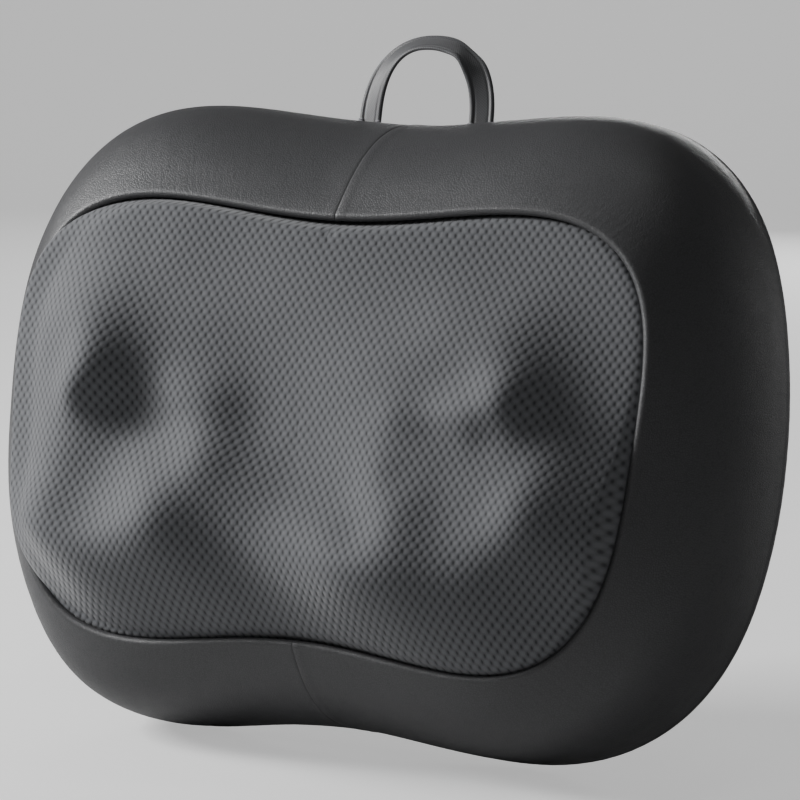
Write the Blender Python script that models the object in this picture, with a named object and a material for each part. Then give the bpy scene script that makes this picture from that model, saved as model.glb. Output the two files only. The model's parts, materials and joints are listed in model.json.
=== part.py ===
"""Kneading back-and-neck massage cushion.

A padded, waisted cushion with a breathable front panel, a two-piece leather
surround, a carrying loop and a flat back.  Inside, one double-ended motor
drives two counter-rotating heads of four nodes each through worm gears.

Frame: origin at the centre of the flat back, +X to the cushion's right-hand
half as seen from the front, -Y towards the user, +Z up to the carrying loop.
All dimensions below are in millimetres.
"""
import bpy
import bmesh
import math
from math import sin, cos, tan, pi, radians
from mathutils import Matrix, Vector
import numpy as np

# ------------------------------------------------------------------ dimensions
UNIT = 0.001                 # model is built in mm and written in metres
ALONG_X, ALONG_Y = (1, 0, 0), (0, 1, 0)
SIDES = ((1, "right"), (-1, "left"))
GAP = 0.3                    # clearance between neighbouring hard parts

# Waisted outlines.  power: squareness of the super-ellipse; waist and spread:
# depth and width of the dip in height at x = 0; taper: extra width at the top.
BACK = dict(half_w=160.0, half_h=181.0, power=2.20, waist=0.353, spread=0.85,
            centre_z=0.0, taper=0.028)
PANEL = dict(half_w=128.4, half_h=101.7, power=3.39, waist=0.219, spread=0.76,
             centre_z=-6.5, taper=0.052)
SHELL = dict(half_w=130.0, half_h=104.0, power=3.0, waist=0.18, spread=0.69,
             centre_z=-4.0, taper=0.03)
AROUND = 40                  # stations round an outline
FINE_AROUND = 720            # stations where an outline is only measured

DEPTH = 74.0                 # back face to the panel's edge
SHOULDER = 2.38              # roundness of the surround's section
COVER_T = 2.5                # padded leather and mesh thickness

SHELL_WALL = 2.0
SHELL_BACK, SHELL_SPLIT, SHELL_FRONT = -3.2, -30.0, -54.0
FRONT_SHELL_EDGE = SHELL_SPLIT - 0.4

HEAD_X, HEAD_Z = 68.0, -18.0                 # head axes, parallel to Y
DISC_R, DISC_BACK, DISC_FRONT = 46.0, -43.0, -49.0

TEETH, MODULE = 32, 1.25
WHEEL_R = TEETH * MODULE / 2                 # pitch radius
WHEEL_MID = -28.0                            # y of the wheels, shaft and motor
WORM_R = 5.0
SHAFT_R, SHAFT_HALF = 1.5, 90.0
SHAFT_BORE = SHAFT_R + 0.35
SHAFT_Z = HEAD_Z - WHEEL_R - WORM_R

PLATE_BACK, PLATE_FRONT = -10.0, -13.0
ON_PLATE = PLATE_FRONT - GAP                 # back of the parts in front of the plate
MOTOR_R, MOTOR_HALF = 14.0, 28.0

BOARD_BACK, BOARD_FRONT = -9.0, -10.6
BUTTON_Y, BUTTON_Z = -16.0, -0.4
JACK_Z = BUTTON_Z - 28.0


def both_sides(places):
    """Each (x, z) followed by its mirror image."""
    return [(side * x, z) for x, z in places for side in (1, -1)]


SHELL_SCREWS = both_sides([(104.5, 56.0), (104.5, -61.0)])
CHASSIS_SCREWS = both_sides([(90.0, 6.0), (40.0, -60.0)])
BOARD_POSTS = both_sides([(27.0, 33.0), (27.0, 57.0)])

# ------------------------------------------------------------------- materials
MATERIALS = {                # base colour, roughness, metallic
    "mesh_fabric": ((0.17, 0.175, 0.185), 0.85, 0.0),
    "leather": ((0.030, 0.031, 0.034), 0.48, 0.0),
    "back_fabric": ((0.035, 0.036, 0.039), 0.80, 0.0),
    "piping": ((0.045, 0.046, 0.050), 0.45, 0.0),
    "webbing": ((0.055, 0.056, 0.060), 0.60, 0.0),
    "foam": ((0.25, 0.25, 0.24), 0.95, 0.0),
    "black_plastic": ((0.02, 0.02, 0.022), 0.50, 0.0),
    "node_plastic": ((0.55, 0.10, 0.07), 0.40, 0.0),
    "white_nylon": ((0.75, 0.74, 0.70), 0.45, 0.0),
    "steel": ((0.55, 0.56, 0.58), 0.35, 1.0),
    "bronze": ((0.55, 0.38, 0.18), 0.40, 1.0),
    "brass": ((0.70, 0.55, 0.25), 0.35, 1.0),
    "board": ((0.02, 0.18, 0.07), 0.50, 0.0),
    "red_lens": ((0.60, 0.02, 0.02), 0.15, 0.0),
    "wire": ((0.30, 0.02, 0.02), 0.55, 0.0),
    "button_plastic": ((0.06, 0.06, 0.065), 0.35, 0.0),
}


def material(key):
    mat = bpy.data.materials.get(key)
    if mat is None:
        colour, roughness, metallic = MATERIALS[key]
        mat = bpy.data.materials.new(key)
        mat.use_nodes = True
        shader = mat.node_tree.nodes["Principled BSDF"]
        shader.inputs["Base Color"].default_value = (*colour, 1.0)
        shader.inputs["Roughness"].default_value = roughness
        shader.inputs["Metallic"].default_value = metallic
        mat.diffuse_color = (*colour, 1.0)
    return mat


# --------------------------------------------------------------------- objects
def make_object(name, bm, key, parent=None, at=(0, 0, 0), smooth=35):
    """Write a bmesh modelled in mm at world position, with its origin at `at`."""
    bmesh.ops.recalc_face_normals(bm, faces=bm.faces[:])
    bmesh.ops.translate(bm, verts=bm.verts[:], vec=Vector(at) * -1)
    bmesh.ops.scale(bm, verts=bm.verts[:], vec=(UNIT, UNIT, UNIT))
    mesh = bpy.data.meshes.new(name)
    bm.to_mesh(mesh)
    bm.free()
    mesh.shade_smooth()
    mesh.set_sharp_from_angle(angle=radians(smooth))
    mesh.materials.append(material(key))
    ob = bpy.data.objects.new(name, mesh)
    bpy.context.scene.collection.objects.link(ob)
    place = Vector(at) * UNIT
    if parent is not None:
        ob.parent = parent
        place = place - parent.location
    ob.location = place
    return ob


def pivot(name, at):
    empty = bpy.data.objects.new(name, None)
    empty.empty_display_size = 0.02
    empty.location = Vector(at) * UNIT
    bpy.context.scene.collection.objects.link(empty)
    return empty


def boolean(ob, name, bm, operation):
    """Make a hidden helper from `bm` and add or cut it with a modifier."""
    helper = make_object(name, bm, "black_plastic")
    helper.hide_render = True
    helper.display_type = 'WIRE'
    mod = ob.modifiers.new(operation.lower(), 'BOOLEAN')
    mod.operation = operation
    mod.solver = 'EXACT'
    mod.object = helper


# ---------------------------------------------------------------- mesh helpers
def bridge(bm, first, second, closed=True):
    """Join two equal runs of vertices with quads."""
    count = len(first)
    for k in range(count if closed else count - 1):
        m = (k + 1) % count
        bm.faces.new((first[k], first[m], second[m], second[k]))


def skin_rings(bm, rings, caps=False):
    """Join each ring of vertices to the next, and cap the two end rings."""
    for ring, following in zip(rings, rings[1:]):
        bridge(bm, ring, following)
    if caps:
        bm.faces.new(rings[0])
        bm.faces.new(rings[-1])


def loft(name, key, rings, caps):
    """Skin a stack of closed rings; the stack is capped or closes on itself."""
    bm = bmesh.new()
    loops = [[bm.verts.new(point) for point in ring] for ring in rings]
    skin_rings(bm, loops, caps)
    if not caps:
        bridge(bm, loops[-1], loops[0])
    return make_object(name, bm, key)


def frame_of(axis, centre):
    """Matrix taking local +Z to `axis` and the origin to `centre`."""
    turn = Vector(axis).to_track_quat('Z', 'Y').to_matrix().to_4x4()
    return Matrix.Translation(Vector(centre)) @ turn


def add_cylinder(bm, axis, centre, start, end, radius, seg):
    """Cylinder between `start` and `end` along `axis` from `centre`."""
    middle = Vector(centre) + Vector(axis).normalized() * ((start + end) / 2)
    bmesh.ops.create_cone(bm, cap_ends=True, segments=seg, radius1=radius,
                          radius2=radius, depth=abs(end - start),
                          matrix=frame_of(axis, middle))


def add_pegs(bm, places, start, end, radius, seg):
    """Cylinders parallel to Y at each (x, z) place."""
    for x, z in places:
        add_cylinder(bm, ALONG_Y, (x, 0, z), start, end, radius, seg)


def add_box(bm, low, high):
    low, high = Vector(low), Vector(high)
    size, middle = high - low, (high + low) / 2
    bmesh.ops.create_cube(bm, size=1.0, matrix=Matrix.Translation(middle) @
                          Matrix.Diagonal((*size, 1.0)))


def add_turned(bm, axis, centre, profile, seg):
    """Spin (radius, height along axis) pairs a full turn.  A profile that
    starts on the axis also ends there; any other is closed into a ring."""
    to_world = frame_of(axis, centre)
    verts = [bm.verts.new(to_world @ Vector((radius, 0, height)))
             for radius, height in profile]
    edges = [bm.edges.new(pair) for pair in zip(verts, verts[1:])]
    if profile[0][0] > 0:
        edges.append(bm.edges.new((verts[-1], verts[0])))
    bmesh.ops.spin(bm, geom=verts + edges, cent=Vector(centre),
                   axis=Vector(axis).normalized(), angle=2 * pi,
                   steps=seg, use_merge=True, use_duplicate=False)
    bmesh.ops.remove_doubles(bm, verts=bm.verts[:], dist=1e-4)


def turned(name, key, axis, centre, profile, seg, parent=None, smooth=35):
    bm = bmesh.new()
    add_turned(bm, axis, centre, profile, seg)
    return make_object(name, bm, key, parent, centre, smooth)


def tube(name, key, path, radius, sides=5, closed=False):
    """Round cord swept along a path of points."""
    points = [Vector(point) for point in path]
    count = len(points)
    bm = bmesh.new()
    rings, normal = [], None
    for i, point in enumerate(points):
        ahead = points[(i + 1) % count] if closed or i < count - 1 else point
        behind = points[i - 1] if closed or i > 0 else point
        tangent = (ahead - behind).normalized()
        if normal is None:
            normal = tangent.orthogonal().normalized()
        normal = (normal - tangent * normal.dot(tangent)).normalized()
        across = tangent.cross(normal)
        angles = [2 * pi * k / sides for k in range(sides)]
        rings.append([bm.verts.new(point + radius * (cos(angle) * normal
                                                     + sin(angle) * across))
                      for angle in angles])
    skin_rings(bm, rings, caps=not closed)
    if closed:
        bridge(bm, rings[-1], rings[0])
    return make_object(name, bm, key)


# -------------------------------------------------------------------- outlines
def outline(half_w, half_h, power, waist, spread, centre_z, taper,
            count=AROUND, inset=0.0):
    """Waisted super-ellipse sampled at equal lengths from the top centre
    clockwise (towards +X first); returns an array of (x, z)."""
    dense = 2880
    angle = pi / 2 - 2 * pi * np.arange(dense + 1) / dense
    cosine, sine = np.cos(angle), np.sin(angle)
    x = half_w * np.sign(cosine) * np.abs(cosine) ** (2 / power)
    z = half_h * np.sign(sine) * np.abs(sine) ** (2 / power)
    z = z * (1 - waist * np.exp(-(x / (spread * half_w)) ** 2))
    x = x * (1 + taper * z / half_h)
    z = z + centre_z
    length = np.concatenate(([0], np.cumsum(np.hypot(np.diff(x), np.diff(z)))))
    total = length[-1]
    at = np.arange(count) * total / count
    out_x, out_z = np.interp(at, length, x), np.interp(at, length, z)
    if inset:
        step = total / 720
        ahead, behind = (at + step) % total, (at - step) % total
        run_x = np.interp(ahead, length, x) - np.interp(behind, length, x)
        run_z = np.interp(ahead, length, z) - np.interp(behind, length, z)
        run = np.hypot(run_x, run_z)
        out_x, out_z = out_x + inset * run_z / run, out_z - inset * run_x / run
    out_x[0] = 0.0
    out_x[count // 2] = 0.0
    return np.stack([out_x, out_z], axis=1)


def section(u):
    """Outline values of the surround at u: 0 at the panel, 1 at the back."""
    blend = 1 - (1 - u) ** SHOULDER
    return {key: PANEL[key] + (BACK[key] - PANEL[key]) * blend for key in PANEL}


def surround_row(u):
    xz = outline(**section(u))
    return np.stack([xz[:, 0], np.full(AROUND, -DEPTH * (1 - u)), xz[:, 1]], 1)


def surround_grid(stations, depth):
    """Points of the surround's outer surface moved inwards by `depth`."""
    step = 0.01
    grid = []
    for u in stations:
        here = surround_row(u)
        along = surround_row(min(u + step, 1.0)) - surround_row(max(u - step, 0.0))
        around = np.roll(here, -1, 0) - np.roll(here, 1, 0)
        normal = np.cross(around, along)
        normal /= np.linalg.norm(normal, axis=1)[:, None]
        outward = here - np.array([0, here[0, 1], PANEL["centre_z"] / 2])
        flip = np.sign((normal * outward).sum(1))[:, None]
        grid.append(here - normal * flip * depth)
    return grid


def outline_ring(shape, inset, y):
    return [(x, y, z) for x, z in outline(inset=inset, **shape)]


# ------------------------------------------------------------------ soft goods
CROWN = 22.0                 # bulge of the front panel past its edge
PANEL_INSET = 2.6            # panel edge inside the surround's front outline
PANEL_RINGS = (0.40, 0.68, 0.87, 1.0)        # fractions of the edge's size
GUSSET_STATIONS = (0.0, 0.12, 0.28, 0.48, 0.72, 0.947)
SEAM_HALF = 0.15             # half the gap between the two gussets
FOAM_STATIONS = (0.16, 0.34, 0.60, 0.935)
FOAM_GAP = 1.5               # foam to the leather
FOAM_SHELL_GAP = 0.8
FOAM_BACK, FOAM_FRONT = -4.8, -60.5          # where the foam meets the shell
COVER_RINGS = ((4.0, 0.0), (3.1, -0.8), (3.1, -2.6))     # inset, y
PIPING_INSET, PIPING_Y, PIPING_R = 1.2, -2.0, 1.5


def build_panel():
    """Front mesh panel: a crowned sheet of even thickness."""
    edge = outline(inset=PANEL_INSET, **PANEL)
    centre_z = PANEL["centre_z"]
    bm = bmesh.new()
    rims = []
    for lift in (0.0, COVER_T):
        centre = bm.verts.new((0, -DEPTH - CROWN + lift, centre_z))
        rings = []
        for size in PANEL_RINGS:
            y = -DEPTH - CROWN * min(1.0, (1 - size ** 6) / 0.98) + lift
            rings.append([bm.verts.new((x * size, y, centre_z + (z - centre_z) * size))
                          for x, z in edge])
        for k in range(AROUND):
            bm.faces.new((centre, rings[0][k], rings[0][(k + 1) % AROUND]))
        skin_rings(bm, rings)
        rims.append(rings[-1])
    bridge(bm, *rims)
    make_object("front_mesh_panel", bm, "mesh_fabric", smooth=50)


def build_gusset(side, word):
    """Half of the leather surround, seamed at the top and bottom centre."""
    ends = (0, AROUND // 2)
    bm = bmesh.new()
    skins = []
    for depth in (0.0, COVER_T):
        rows = []
        for points in surround_grid(GUSSET_STATIONS, depth):
            row = []
            for k in range(AROUND // 2 + 1):
                x, y, z = points[k]
                if k in ends:
                    x = SEAM_HALF
                row.append(bm.verts.new((side * x, y, z)))
            rows.append(row)
        skins.append(rows)
    for rows in skins:
        for row, following in zip(rows, rows[1:]):
            bridge(bm, row, following, closed=False)
    outer, inner = skins
    for i in (0, -1):
        bridge(bm, outer[i], inner[i], closed=False)
    for k in ends:
        bridge(bm, [row[k] for row in outer], [row[k] for row in inner], closed=False)
    return make_object("gusset_" + word, bm, "leather", smooth=50)


def build_rear_cover():
    rings = [outline_ring(BACK, inset, y) for inset, y in COVER_RINGS]
    loft("rear_cover", "back_fabric", rings, caps=True)


def build_piping():
    tube("piping_cord", "piping", outline_ring(BACK, PIPING_INSET, PIPING_Y), PIPING_R,
         closed=True)


def build_foam():
    """Padding between the hard shell and the leather surround."""
    rings = [list(map(tuple, row))
             for row in surround_grid(FOAM_STATIONS, COVER_T + FOAM_GAP)]
    rings += [outline_ring(SHELL, -FOAM_SHELL_GAP, y) for y in (FOAM_BACK, FOAM_FRONT)]
    return loft("foam_surround", "foam", rings, caps=False)


# --------------------------------------------------------------- carrying loop
STRAP_W, STRAP_T = 9.8, 2.0                  # width and thickness of the band
STRAP_X, STRAP_Y = 1.8, -9.0
STRAP_HALF, STRAP_RISE, STRAP_POWER = 24.0, 30.8, 2.4    # its centre line
STRAP_TURN = (8.0, 47.0)     # degrees its width turns back, at the feet and the top
STRAP_STEPS = 30
STRAP_SECTION = 0.9          # surround section whose top the loop clears
STRAP_GAP = 1.2


def strap_place():
    """Middle of the loop's feet, just clear of the cushion's top."""
    crest = outline(count=FINE_AROUND, **section(STRAP_SECTION))
    top_right = crest[:FINE_AROUND // 4]
    reach = abs(STRAP_X) + STRAP_HALF + STRAP_W / 2
    top = max(float(np.interp(reach, top_right[:, 0], top_right[:, 1])),
              float(crest[0, 1]))
    return STRAP_X, STRAP_Y, top + STRAP_T / 2 + STRAP_GAP


def build_handle(parent, at):
    """Band whose width lies near the loop's plane at its feet and turns
    towards the back at its top."""
    path = []
    for i in range(STRAP_STEPS + 1):
        angle = pi * i / STRAP_STEPS
        cosine, sine = cos(angle), sin(angle)
        x = STRAP_HALF * math.copysign(abs(cosine) ** (2 / STRAP_POWER), cosine)
        path.append(Vector((x, 0, STRAP_RISE * abs(sine) ** (2 / STRAP_POWER))))
    path[0].z = path[-1].z = -STRAP_T / 2
    foot_turn, top_turn = STRAP_TURN
    bm = bmesh.new()
    rings = []
    for i, point in enumerate(path):
        along = (path[min(i + 1, STRAP_STEPS)] - path[max(i - 1, 0)]).normalized()
        outward = Vector((along.z, 0, -along.x))
        rise = max(0.0, point.z / STRAP_RISE) ** 2.2
        turn = radians(foot_turn + (top_turn - foot_turn) * rise)
        across = outward * cos(turn) + Vector((0, sin(turn), 0))
        through = across.cross(along)
        rings.append([bm.verts.new(Vector(at) + point + across * (u * STRAP_W / 2)
                                   + through * (v * STRAP_T / 2))
                      for u, v in ((1, 1), (1, -1), (-1, -1), (-1, 1))])
    skin_rings(bm, rings, caps=True)
    make_object("handle_loop", bm, "webbing", parent, at)


# ----------------------------------------------------------------- hard shells
REAR_CHAMFER, FRONT_CHAMFER = 2.0, 4.0
OPENING_R = 48.5             # front shell openings for the heads
SHELL_BOSS_R, CHASSIS_BOSS_R, POST_R = 5.5, 4.0, 2.5
ROOTED = 1.0                 # bosses start this far inside the shell's outer face
COUNTERBORE_R, THROUGH_R, PILOT_R = 3.7, 1.6, 1.5
SCREW_SEAT = -12.3           # floor of the shell screws' counterbores
CHASSIS_PILOT_BACK, SHELL_PILOT_FRONT = -5.6, -46.0      # blind ends of the pilots
LEAD_HOLE_R, LEAD_HOLE_X = 2.0, (-136, -120)             # through the left wall


def build_rear_shell():
    back, split = SHELL_BACK, SHELL_SPLIT
    rings = [(SHELL_WALL, back - SHELL_WALL), (SHELL_WALL, split), (0, split),
             (0, back - REAR_CHAMFER), (REAR_CHAMFER, back)]
    shell = loft("rear_shell", "black_plastic",
                 [outline_ring(SHELL, inset, y) for inset, y in rings], caps=True)

    bosses = bmesh.new()
    root = back - ROOTED
    add_pegs(bosses, SHELL_SCREWS, root, split, SHELL_BOSS_R, 12)
    add_pegs(bosses, CHASSIS_SCREWS, root, PLATE_BACK + GAP, CHASSIS_BOSS_R, 10)
    add_pegs(bosses, BOARD_POSTS, root, BOARD_BACK + GAP, POST_R, 8)
    boolean(shell, "cut_rear_bosses", bosses, 'UNION')

    holes = bmesh.new()
    stepped = [(0, 0), (COUNTERBORE_R, 0), (COUNTERBORE_R, SCREW_SEAT),
               (THROUGH_R, SCREW_SEAT), (THROUGH_R, split - 2), (0, split - 2)]
    for x, z in SHELL_SCREWS:
        add_turned(holes, ALONG_Y, (x, 0, z), stepped, 12)
    add_pegs(holes, CHASSIS_SCREWS, CHASSIS_PILOT_BACK, PLATE_BACK - 1, PILOT_R, 8)
    for z in (BUTTON_Z, JACK_Z):
        add_cylinder(holes, ALONG_X, (0, BUTTON_Y, z), *LEAD_HOLE_X, LEAD_HOLE_R, 8)
    boolean(shell, "cut_rear_holes", holes, 'DIFFERENCE')


def build_front_shell():
    front, edge = SHELL_FRONT, FRONT_SHELL_EDGE
    rings = [(SHELL_WALL, front + SHELL_WALL), (SHELL_WALL, edge), (0, edge),
             (0, front + FRONT_CHAMFER), (FRONT_CHAMFER, front)]
    shell = loft("front_shell", "black_plastic",
                 [outline_ring(SHELL, inset, y) for inset, y in rings], caps=True)

    bosses = bmesh.new()
    add_pegs(bosses, SHELL_SCREWS, front + ROOTED, edge, SHELL_BOSS_R, 12)
    boolean(shell, "cut_front_bosses", bosses, 'UNION')

    holes = bmesh.new()
    add_pegs(holes, both_sides([(HEAD_X, HEAD_Z)]), front - 5, front + 10, OPENING_R, 36)
    add_pegs(holes, SHELL_SCREWS, SHELL_SPLIT + 5, SHELL_PILOT_FRONT, PILOT_R, 8)
    boolean(shell, "cut_front_holes", holes, 'DIFFERENCE')


def build_screws(prefix, places, head_y, length, head_r, shank_r):
    """Screws along Y whose heads' undersides are at head_y; the heads face
    away from the tips and have a drive recess."""
    out = 1 if length < 0 else -1
    head_h = 2.0
    profile = [(0, head_y + out * (head_h - 0.9)),
               (head_r * 0.42, head_y + out * (head_h - 0.7)),
               (head_r * 0.5, head_y + out * head_h),
               (head_r * 0.8, head_y + out * head_h),
               (head_r, head_y + out * head_h * 0.5), (head_r, head_y),
               (shank_r, head_y), (shank_r, head_y + length + out * 0.8),
               (0, head_y + length)]
    for i, (x, z) in enumerate(places):
        turned("%s_%d" % (prefix, i + 1), "steel", ALONG_Y, (x, 0, z), profile, 8)


# -------------------------------------------------------------------- chassis
PLATE_HALF, PLATE_BOTTOM, PLATE_TOP = 98.0, -72.0, 14.0
PLATE_CORNER = 9.0
PLATE_HEAD_HOLE_R = 4.5
STRIP_T, BRACKET_CLEAR = 1.5, 0.5            # bracket thickness, gap round the motor
BRACKET_HALF_X, BRACKET_FOOT = 6.0, 25.0     # half width, reach of each foot in z
BRACKET_STEPS = 8
BEARING_X = (83.0, 87.0)
BEARING_HALF_H, BEARING_FRONT = 6.0, WHEEL_MID - 5.5


def build_plate():
    bm = bmesh.new()
    add_box(bm, (-PLATE_HALF, PLATE_FRONT, PLATE_BOTTOM),
            (PLATE_HALF, PLATE_BACK, PLATE_TOP))
    corners = [edge for edge in bm.edges
               if abs(edge.verts[0].co.y - edge.verts[1].co.y) > 1]
    bmesh.ops.bevel(bm, geom=corners, offset=PLATE_CORNER, segments=3, affect='EDGES')
    plate = make_object("chassis_plate", bm, "steel")
    holes = bmesh.new()
    back, front = PLATE_BACK + 5, PLATE_FRONT - 5
    add_pegs(holes, CHASSIS_SCREWS, back, front, PILOT_R, 8)
    add_pegs(holes, both_sides([(HEAD_X, HEAD_Z)]), back, front, PLATE_HEAD_HOLE_R, 12)
    boolean(plate, "cut_plate_holes", holes, 'DIFFERENCE')


def build_motor_bracket():
    """Strap over the motor with two feet on the plate."""
    inner_r = MOTOR_R + BRACKET_CLEAR
    outer_r = inner_r + STRIP_T
    foot_front = ON_PLATE - STRIP_T
    angles = [pi / 2 + pi * k / BRACKET_STEPS for k in range(BRACKET_STEPS + 1)]
    outer, inner = ([(WHEEL_MID + radius * cos(angle), radius * sin(angle))
                     for angle in angles] for radius in (outer_r, inner_r))
    # (y, z from the shaft) once round the strip's edge
    ring = [(ON_PLATE, BRACKET_FOOT), (foot_front, BRACKET_FOOT), (foot_front, outer_r),
            *outer,
            (foot_front, -outer_r), (foot_front, -BRACKET_FOOT),
            (ON_PLATE, -BRACKET_FOOT), (ON_PLATE, -inner_r),
            *inner[::-1], (ON_PLATE, inner_r)]
    bm = bmesh.new()
    ends = [[bm.verts.new((x, y, SHAFT_Z + z)) for y, z in ring]
            for x in (-BRACKET_HALF_X, BRACKET_HALF_X)]
    skin_rings(bm, ends, caps=True)
    make_object("motor_bracket", bm, "steel")


def build_shaft_bearing(side, word):
    bm = bmesh.new()
    low_x, high_x = sorted(side * x for x in BEARING_X)
    add_box(bm, (low_x, BEARING_FRONT, SHAFT_Z - BEARING_HALF_H),
            (high_x, ON_PLATE, SHAFT_Z + BEARING_HALF_H))
    name = "shaft_bearing_" + word
    block = make_object(name, bm, "white_nylon")
    hole = bmesh.new()
    add_cylinder(hole, ALONG_X, (0, WHEEL_MID, SHAFT_Z), side * (BEARING_X[0] - 3),
                 side * (BEARING_X[1] + 3), SHAFT_BORE, 10)
    boolean(block, "cut_" + name, hole, 'DIFFERENCE')


# ----------------------------------------------------------------------- gears
WHEEL_TIP, WHEEL_ROOT = WHEEL_R + 1.0, WHEEL_R - 1.4
WHEEL_T = 6.0
SPINDLE_R = 8.0
BUSH_R, HUB_R = 10.0, 14.0
HUB_BORE = BUSH_R + GAP
HUB_REAR, HUB_FRONT = -15.9, DISC_BACK + GAP
WORM_TIP, WORM_ROOT = 5.9, 3.6
WORM_LEAD = pi * MODULE
WORM_TURNS, WORM_STEPS = 5, 12               # turns, steps per turn
WORM_COLLAR = 0.7                            # plain end past the thread
BACKLASH = 0.2
PRESSURE = radians(20)
TOOTH_HALF = (pi * MODULE / 2 - BACKLASH) / 2            # at the pitch line


def involute(angle):
    return tan(angle) - angle


def tooth_half_angle(radius):
    """Half the angle a wheel tooth spans at a radius."""
    base = WHEEL_R * cos(PRESSURE)
    at_base = TOOTH_HALF / WHEEL_R + involute(PRESSURE)
    if radius <= base:
        return at_base
    return at_base - involute(math.acos(base / radius))


def build_wheel(side, word, parent):
    """Helical worm wheel with a hub; a tooth gap faces the worm."""
    slope = -WORM_LEAD / (2 * pi * WORM_R) / WHEEL_R
    angles = [-pi / 2 + 2 * pi * (i + 0.5) / TEETH for i in range(TEETH)]
    root_half, tip_half = tooth_half_angle(WHEEL_ROOT), tooth_half_angle(WHEEL_TIP)
    bm = bmesh.new()

    def point(radius, angle, y):
        return bm.verts.new((side * (HEAD_X + radius * cos(angle)), y,
                             HEAD_Z + radius * sin(angle)))

    layers = []
    for y in (WHEEL_MID + WHEEL_T / 2, WHEEL_MID - WHEEL_T / 2):
        twist = slope * (y - WHEEL_MID)
        teeth, hub = [], []
        for angle in angles:
            teeth.append([point(WHEEL_ROOT, angle + twist - root_half, y),
                          point(WHEEL_TIP, angle + twist - tip_half, y),
                          point(WHEEL_TIP, angle + twist + tip_half, y),
                          point(WHEEL_ROOT, angle + twist + root_half, y)])
            hub.append(point(HUB_R, angle, y))
        layers.append((teeth, hub))
        for i, tooth in enumerate(teeth):
            m = (i + 1) % TEETH
            bm.faces.new(tooth)
            bm.faces.new((hub[i], tooth[0], tooth[3]))
            bm.faces.new((hub[i], tooth[3], teeth[m][0], hub[m]))
    (rear_teeth, rear_hub), (front_teeth, front_hub) = layers
    for i in range(TEETH):
        m = (i + 1) % TEETH
        bridge(bm, rear_teeth[i] + [rear_teeth[m][0]],
               front_teeth[i] + [front_teeth[m][0]], closed=False)
    hub_rings = [[point(radius, angle, y) for angle in angles]
                 for radius, y in ((HUB_R, HUB_FRONT), (HUB_BORE, HUB_FRONT),
                                   (HUB_BORE, HUB_REAR), (HUB_R, HUB_REAR))]
    skin_rings(bm, [front_hub, *hub_rings, rear_hub])
    make_object("worm_wheel_" + word, bm, "white_nylon", parent,
                (side * HEAD_X, WHEEL_MID, HEAD_Z))


def build_worm(side, word, parent):
    """Worm cut as one closed helical grid with a plain bore."""
    steps, rows = WORM_STEPS, WORM_STEPS * WORM_TURNS
    tip_half = TOOTH_HALF - (WORM_TIP - WORM_R) * tan(PRESSURE)
    root_half = TOOTH_HALF + (WORM_R - WORM_ROOT) * tan(PRESSURE)
    half_length = WORM_LEAD * WORM_TURNS / 2
    phase = -pi * WORM_TURNS
    bm = bmesh.new()

    def point(x, radius, angle):
        return bm.verts.new((side * (HEAD_X + x), WHEEL_MID - radius * sin(angle),
                             SHAFT_Z + radius * cos(angle)))

    # the thread's four helical lines: root, tip, tip, root
    thread = ([], [], [], [])
    offsets = ((-root_half, WORM_ROOT), (-tip_half, WORM_TIP),
               (tip_half, WORM_TIP), (root_half, WORM_ROOT))
    for i in range(rows + 1):
        x, angle = -half_length + WORM_LEAD * i / steps, phase + 2 * pi * i / steps
        for line, (offset, radius) in zip(thread, offsets):
            line.append(point(x + offset, radius, angle))
    for line, following in zip(thread, thread[1:]):
        bridge(bm, line, following, closed=False)
    first_root, last_root = thread[0], thread[3]
    # the floor joins each turn to the next
    bridge(bm, last_root[:rows - steps + 1], first_root[steps:], closed=False)

    bores = []
    for sign, near, far in ((-1, first_root, last_root), (1, last_root, first_root)):
        # rows of the end turn, counted from the worm's end
        turn = [j if sign < 0 else rows - j for j in range(steps + 1)]
        x = sign * (half_length + root_half + WORM_COLLAR)
        angles = [phase + 2 * pi * row / steps for row in turn[:steps]]
        collar = [point(x, WORM_ROOT, angle) for angle in angles]
        bore = [point(x, SHAFT_BORE, angle) for angle in angles]
        bridge(bm, collar, [near[row] for row in turn[:steps]], closed=False)
        bm.faces.new((collar[-1], collar[0], near[turn[0]], far[turn[0]],
                      near[turn[steps]], near[turn[steps - 1]]))
        bm.faces.new([line[turn[0]] for line in thread])
        bridge(bm, collar, bore)
        by_angle = {row % steps: vert for row, vert in zip(turn, bore)}
        bores.append([by_angle[j] for j in range(steps)])
    bridge(bm, *bores)
    make_object("worm_" + word, bm, "brass", parent,
                (side * HEAD_X, WHEEL_MID, SHAFT_Z))


# ----------------------------------------------------------------------- heads
SPINDLE_BORE, SPINDLE_FRONT = 4.5, -51.0
FLANGE_R, FLANGE_FRONT = 12.0, -15.3
GROOVE_R, GROOVE_BACK, GROOVE_FRONT = 7.2, -48.1, -49.5
BUSH_FRONT = -42.6
DISC_BORE = 11.2
RING_INNER, RING_OUTER = 7.6, 10.4
RING_START, RING_SPAN, RING_STEPS = radians(110), radians(320), 9
NODE_CIRCLE, NODE_R = 31.0, 15.0
NODES = ((52.0, -86.5), (142.0, -82.0), (232.0, -84.5), (322.0, -82.0))  # degrees, tip y
LAMP_BACK = SPINDLE_FRONT - GAP
# (radius, y) pairs
LAMP_PROFILE = [(0, LAMP_BACK), (9.0, LAMP_BACK), (9.0, -52.7), (2.5, -52.7),
                (2.5, -54.5), (0, -54.5)]
LENS_PROFILE = [(0, -58.0), (6.0, -57.2), (9.4, -54.5), (9.4, LAMP_BACK),
                (11.0, LAMP_BACK), (11.0, -55.4), (7.0, -58.6), (0, -59.8)]


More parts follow.
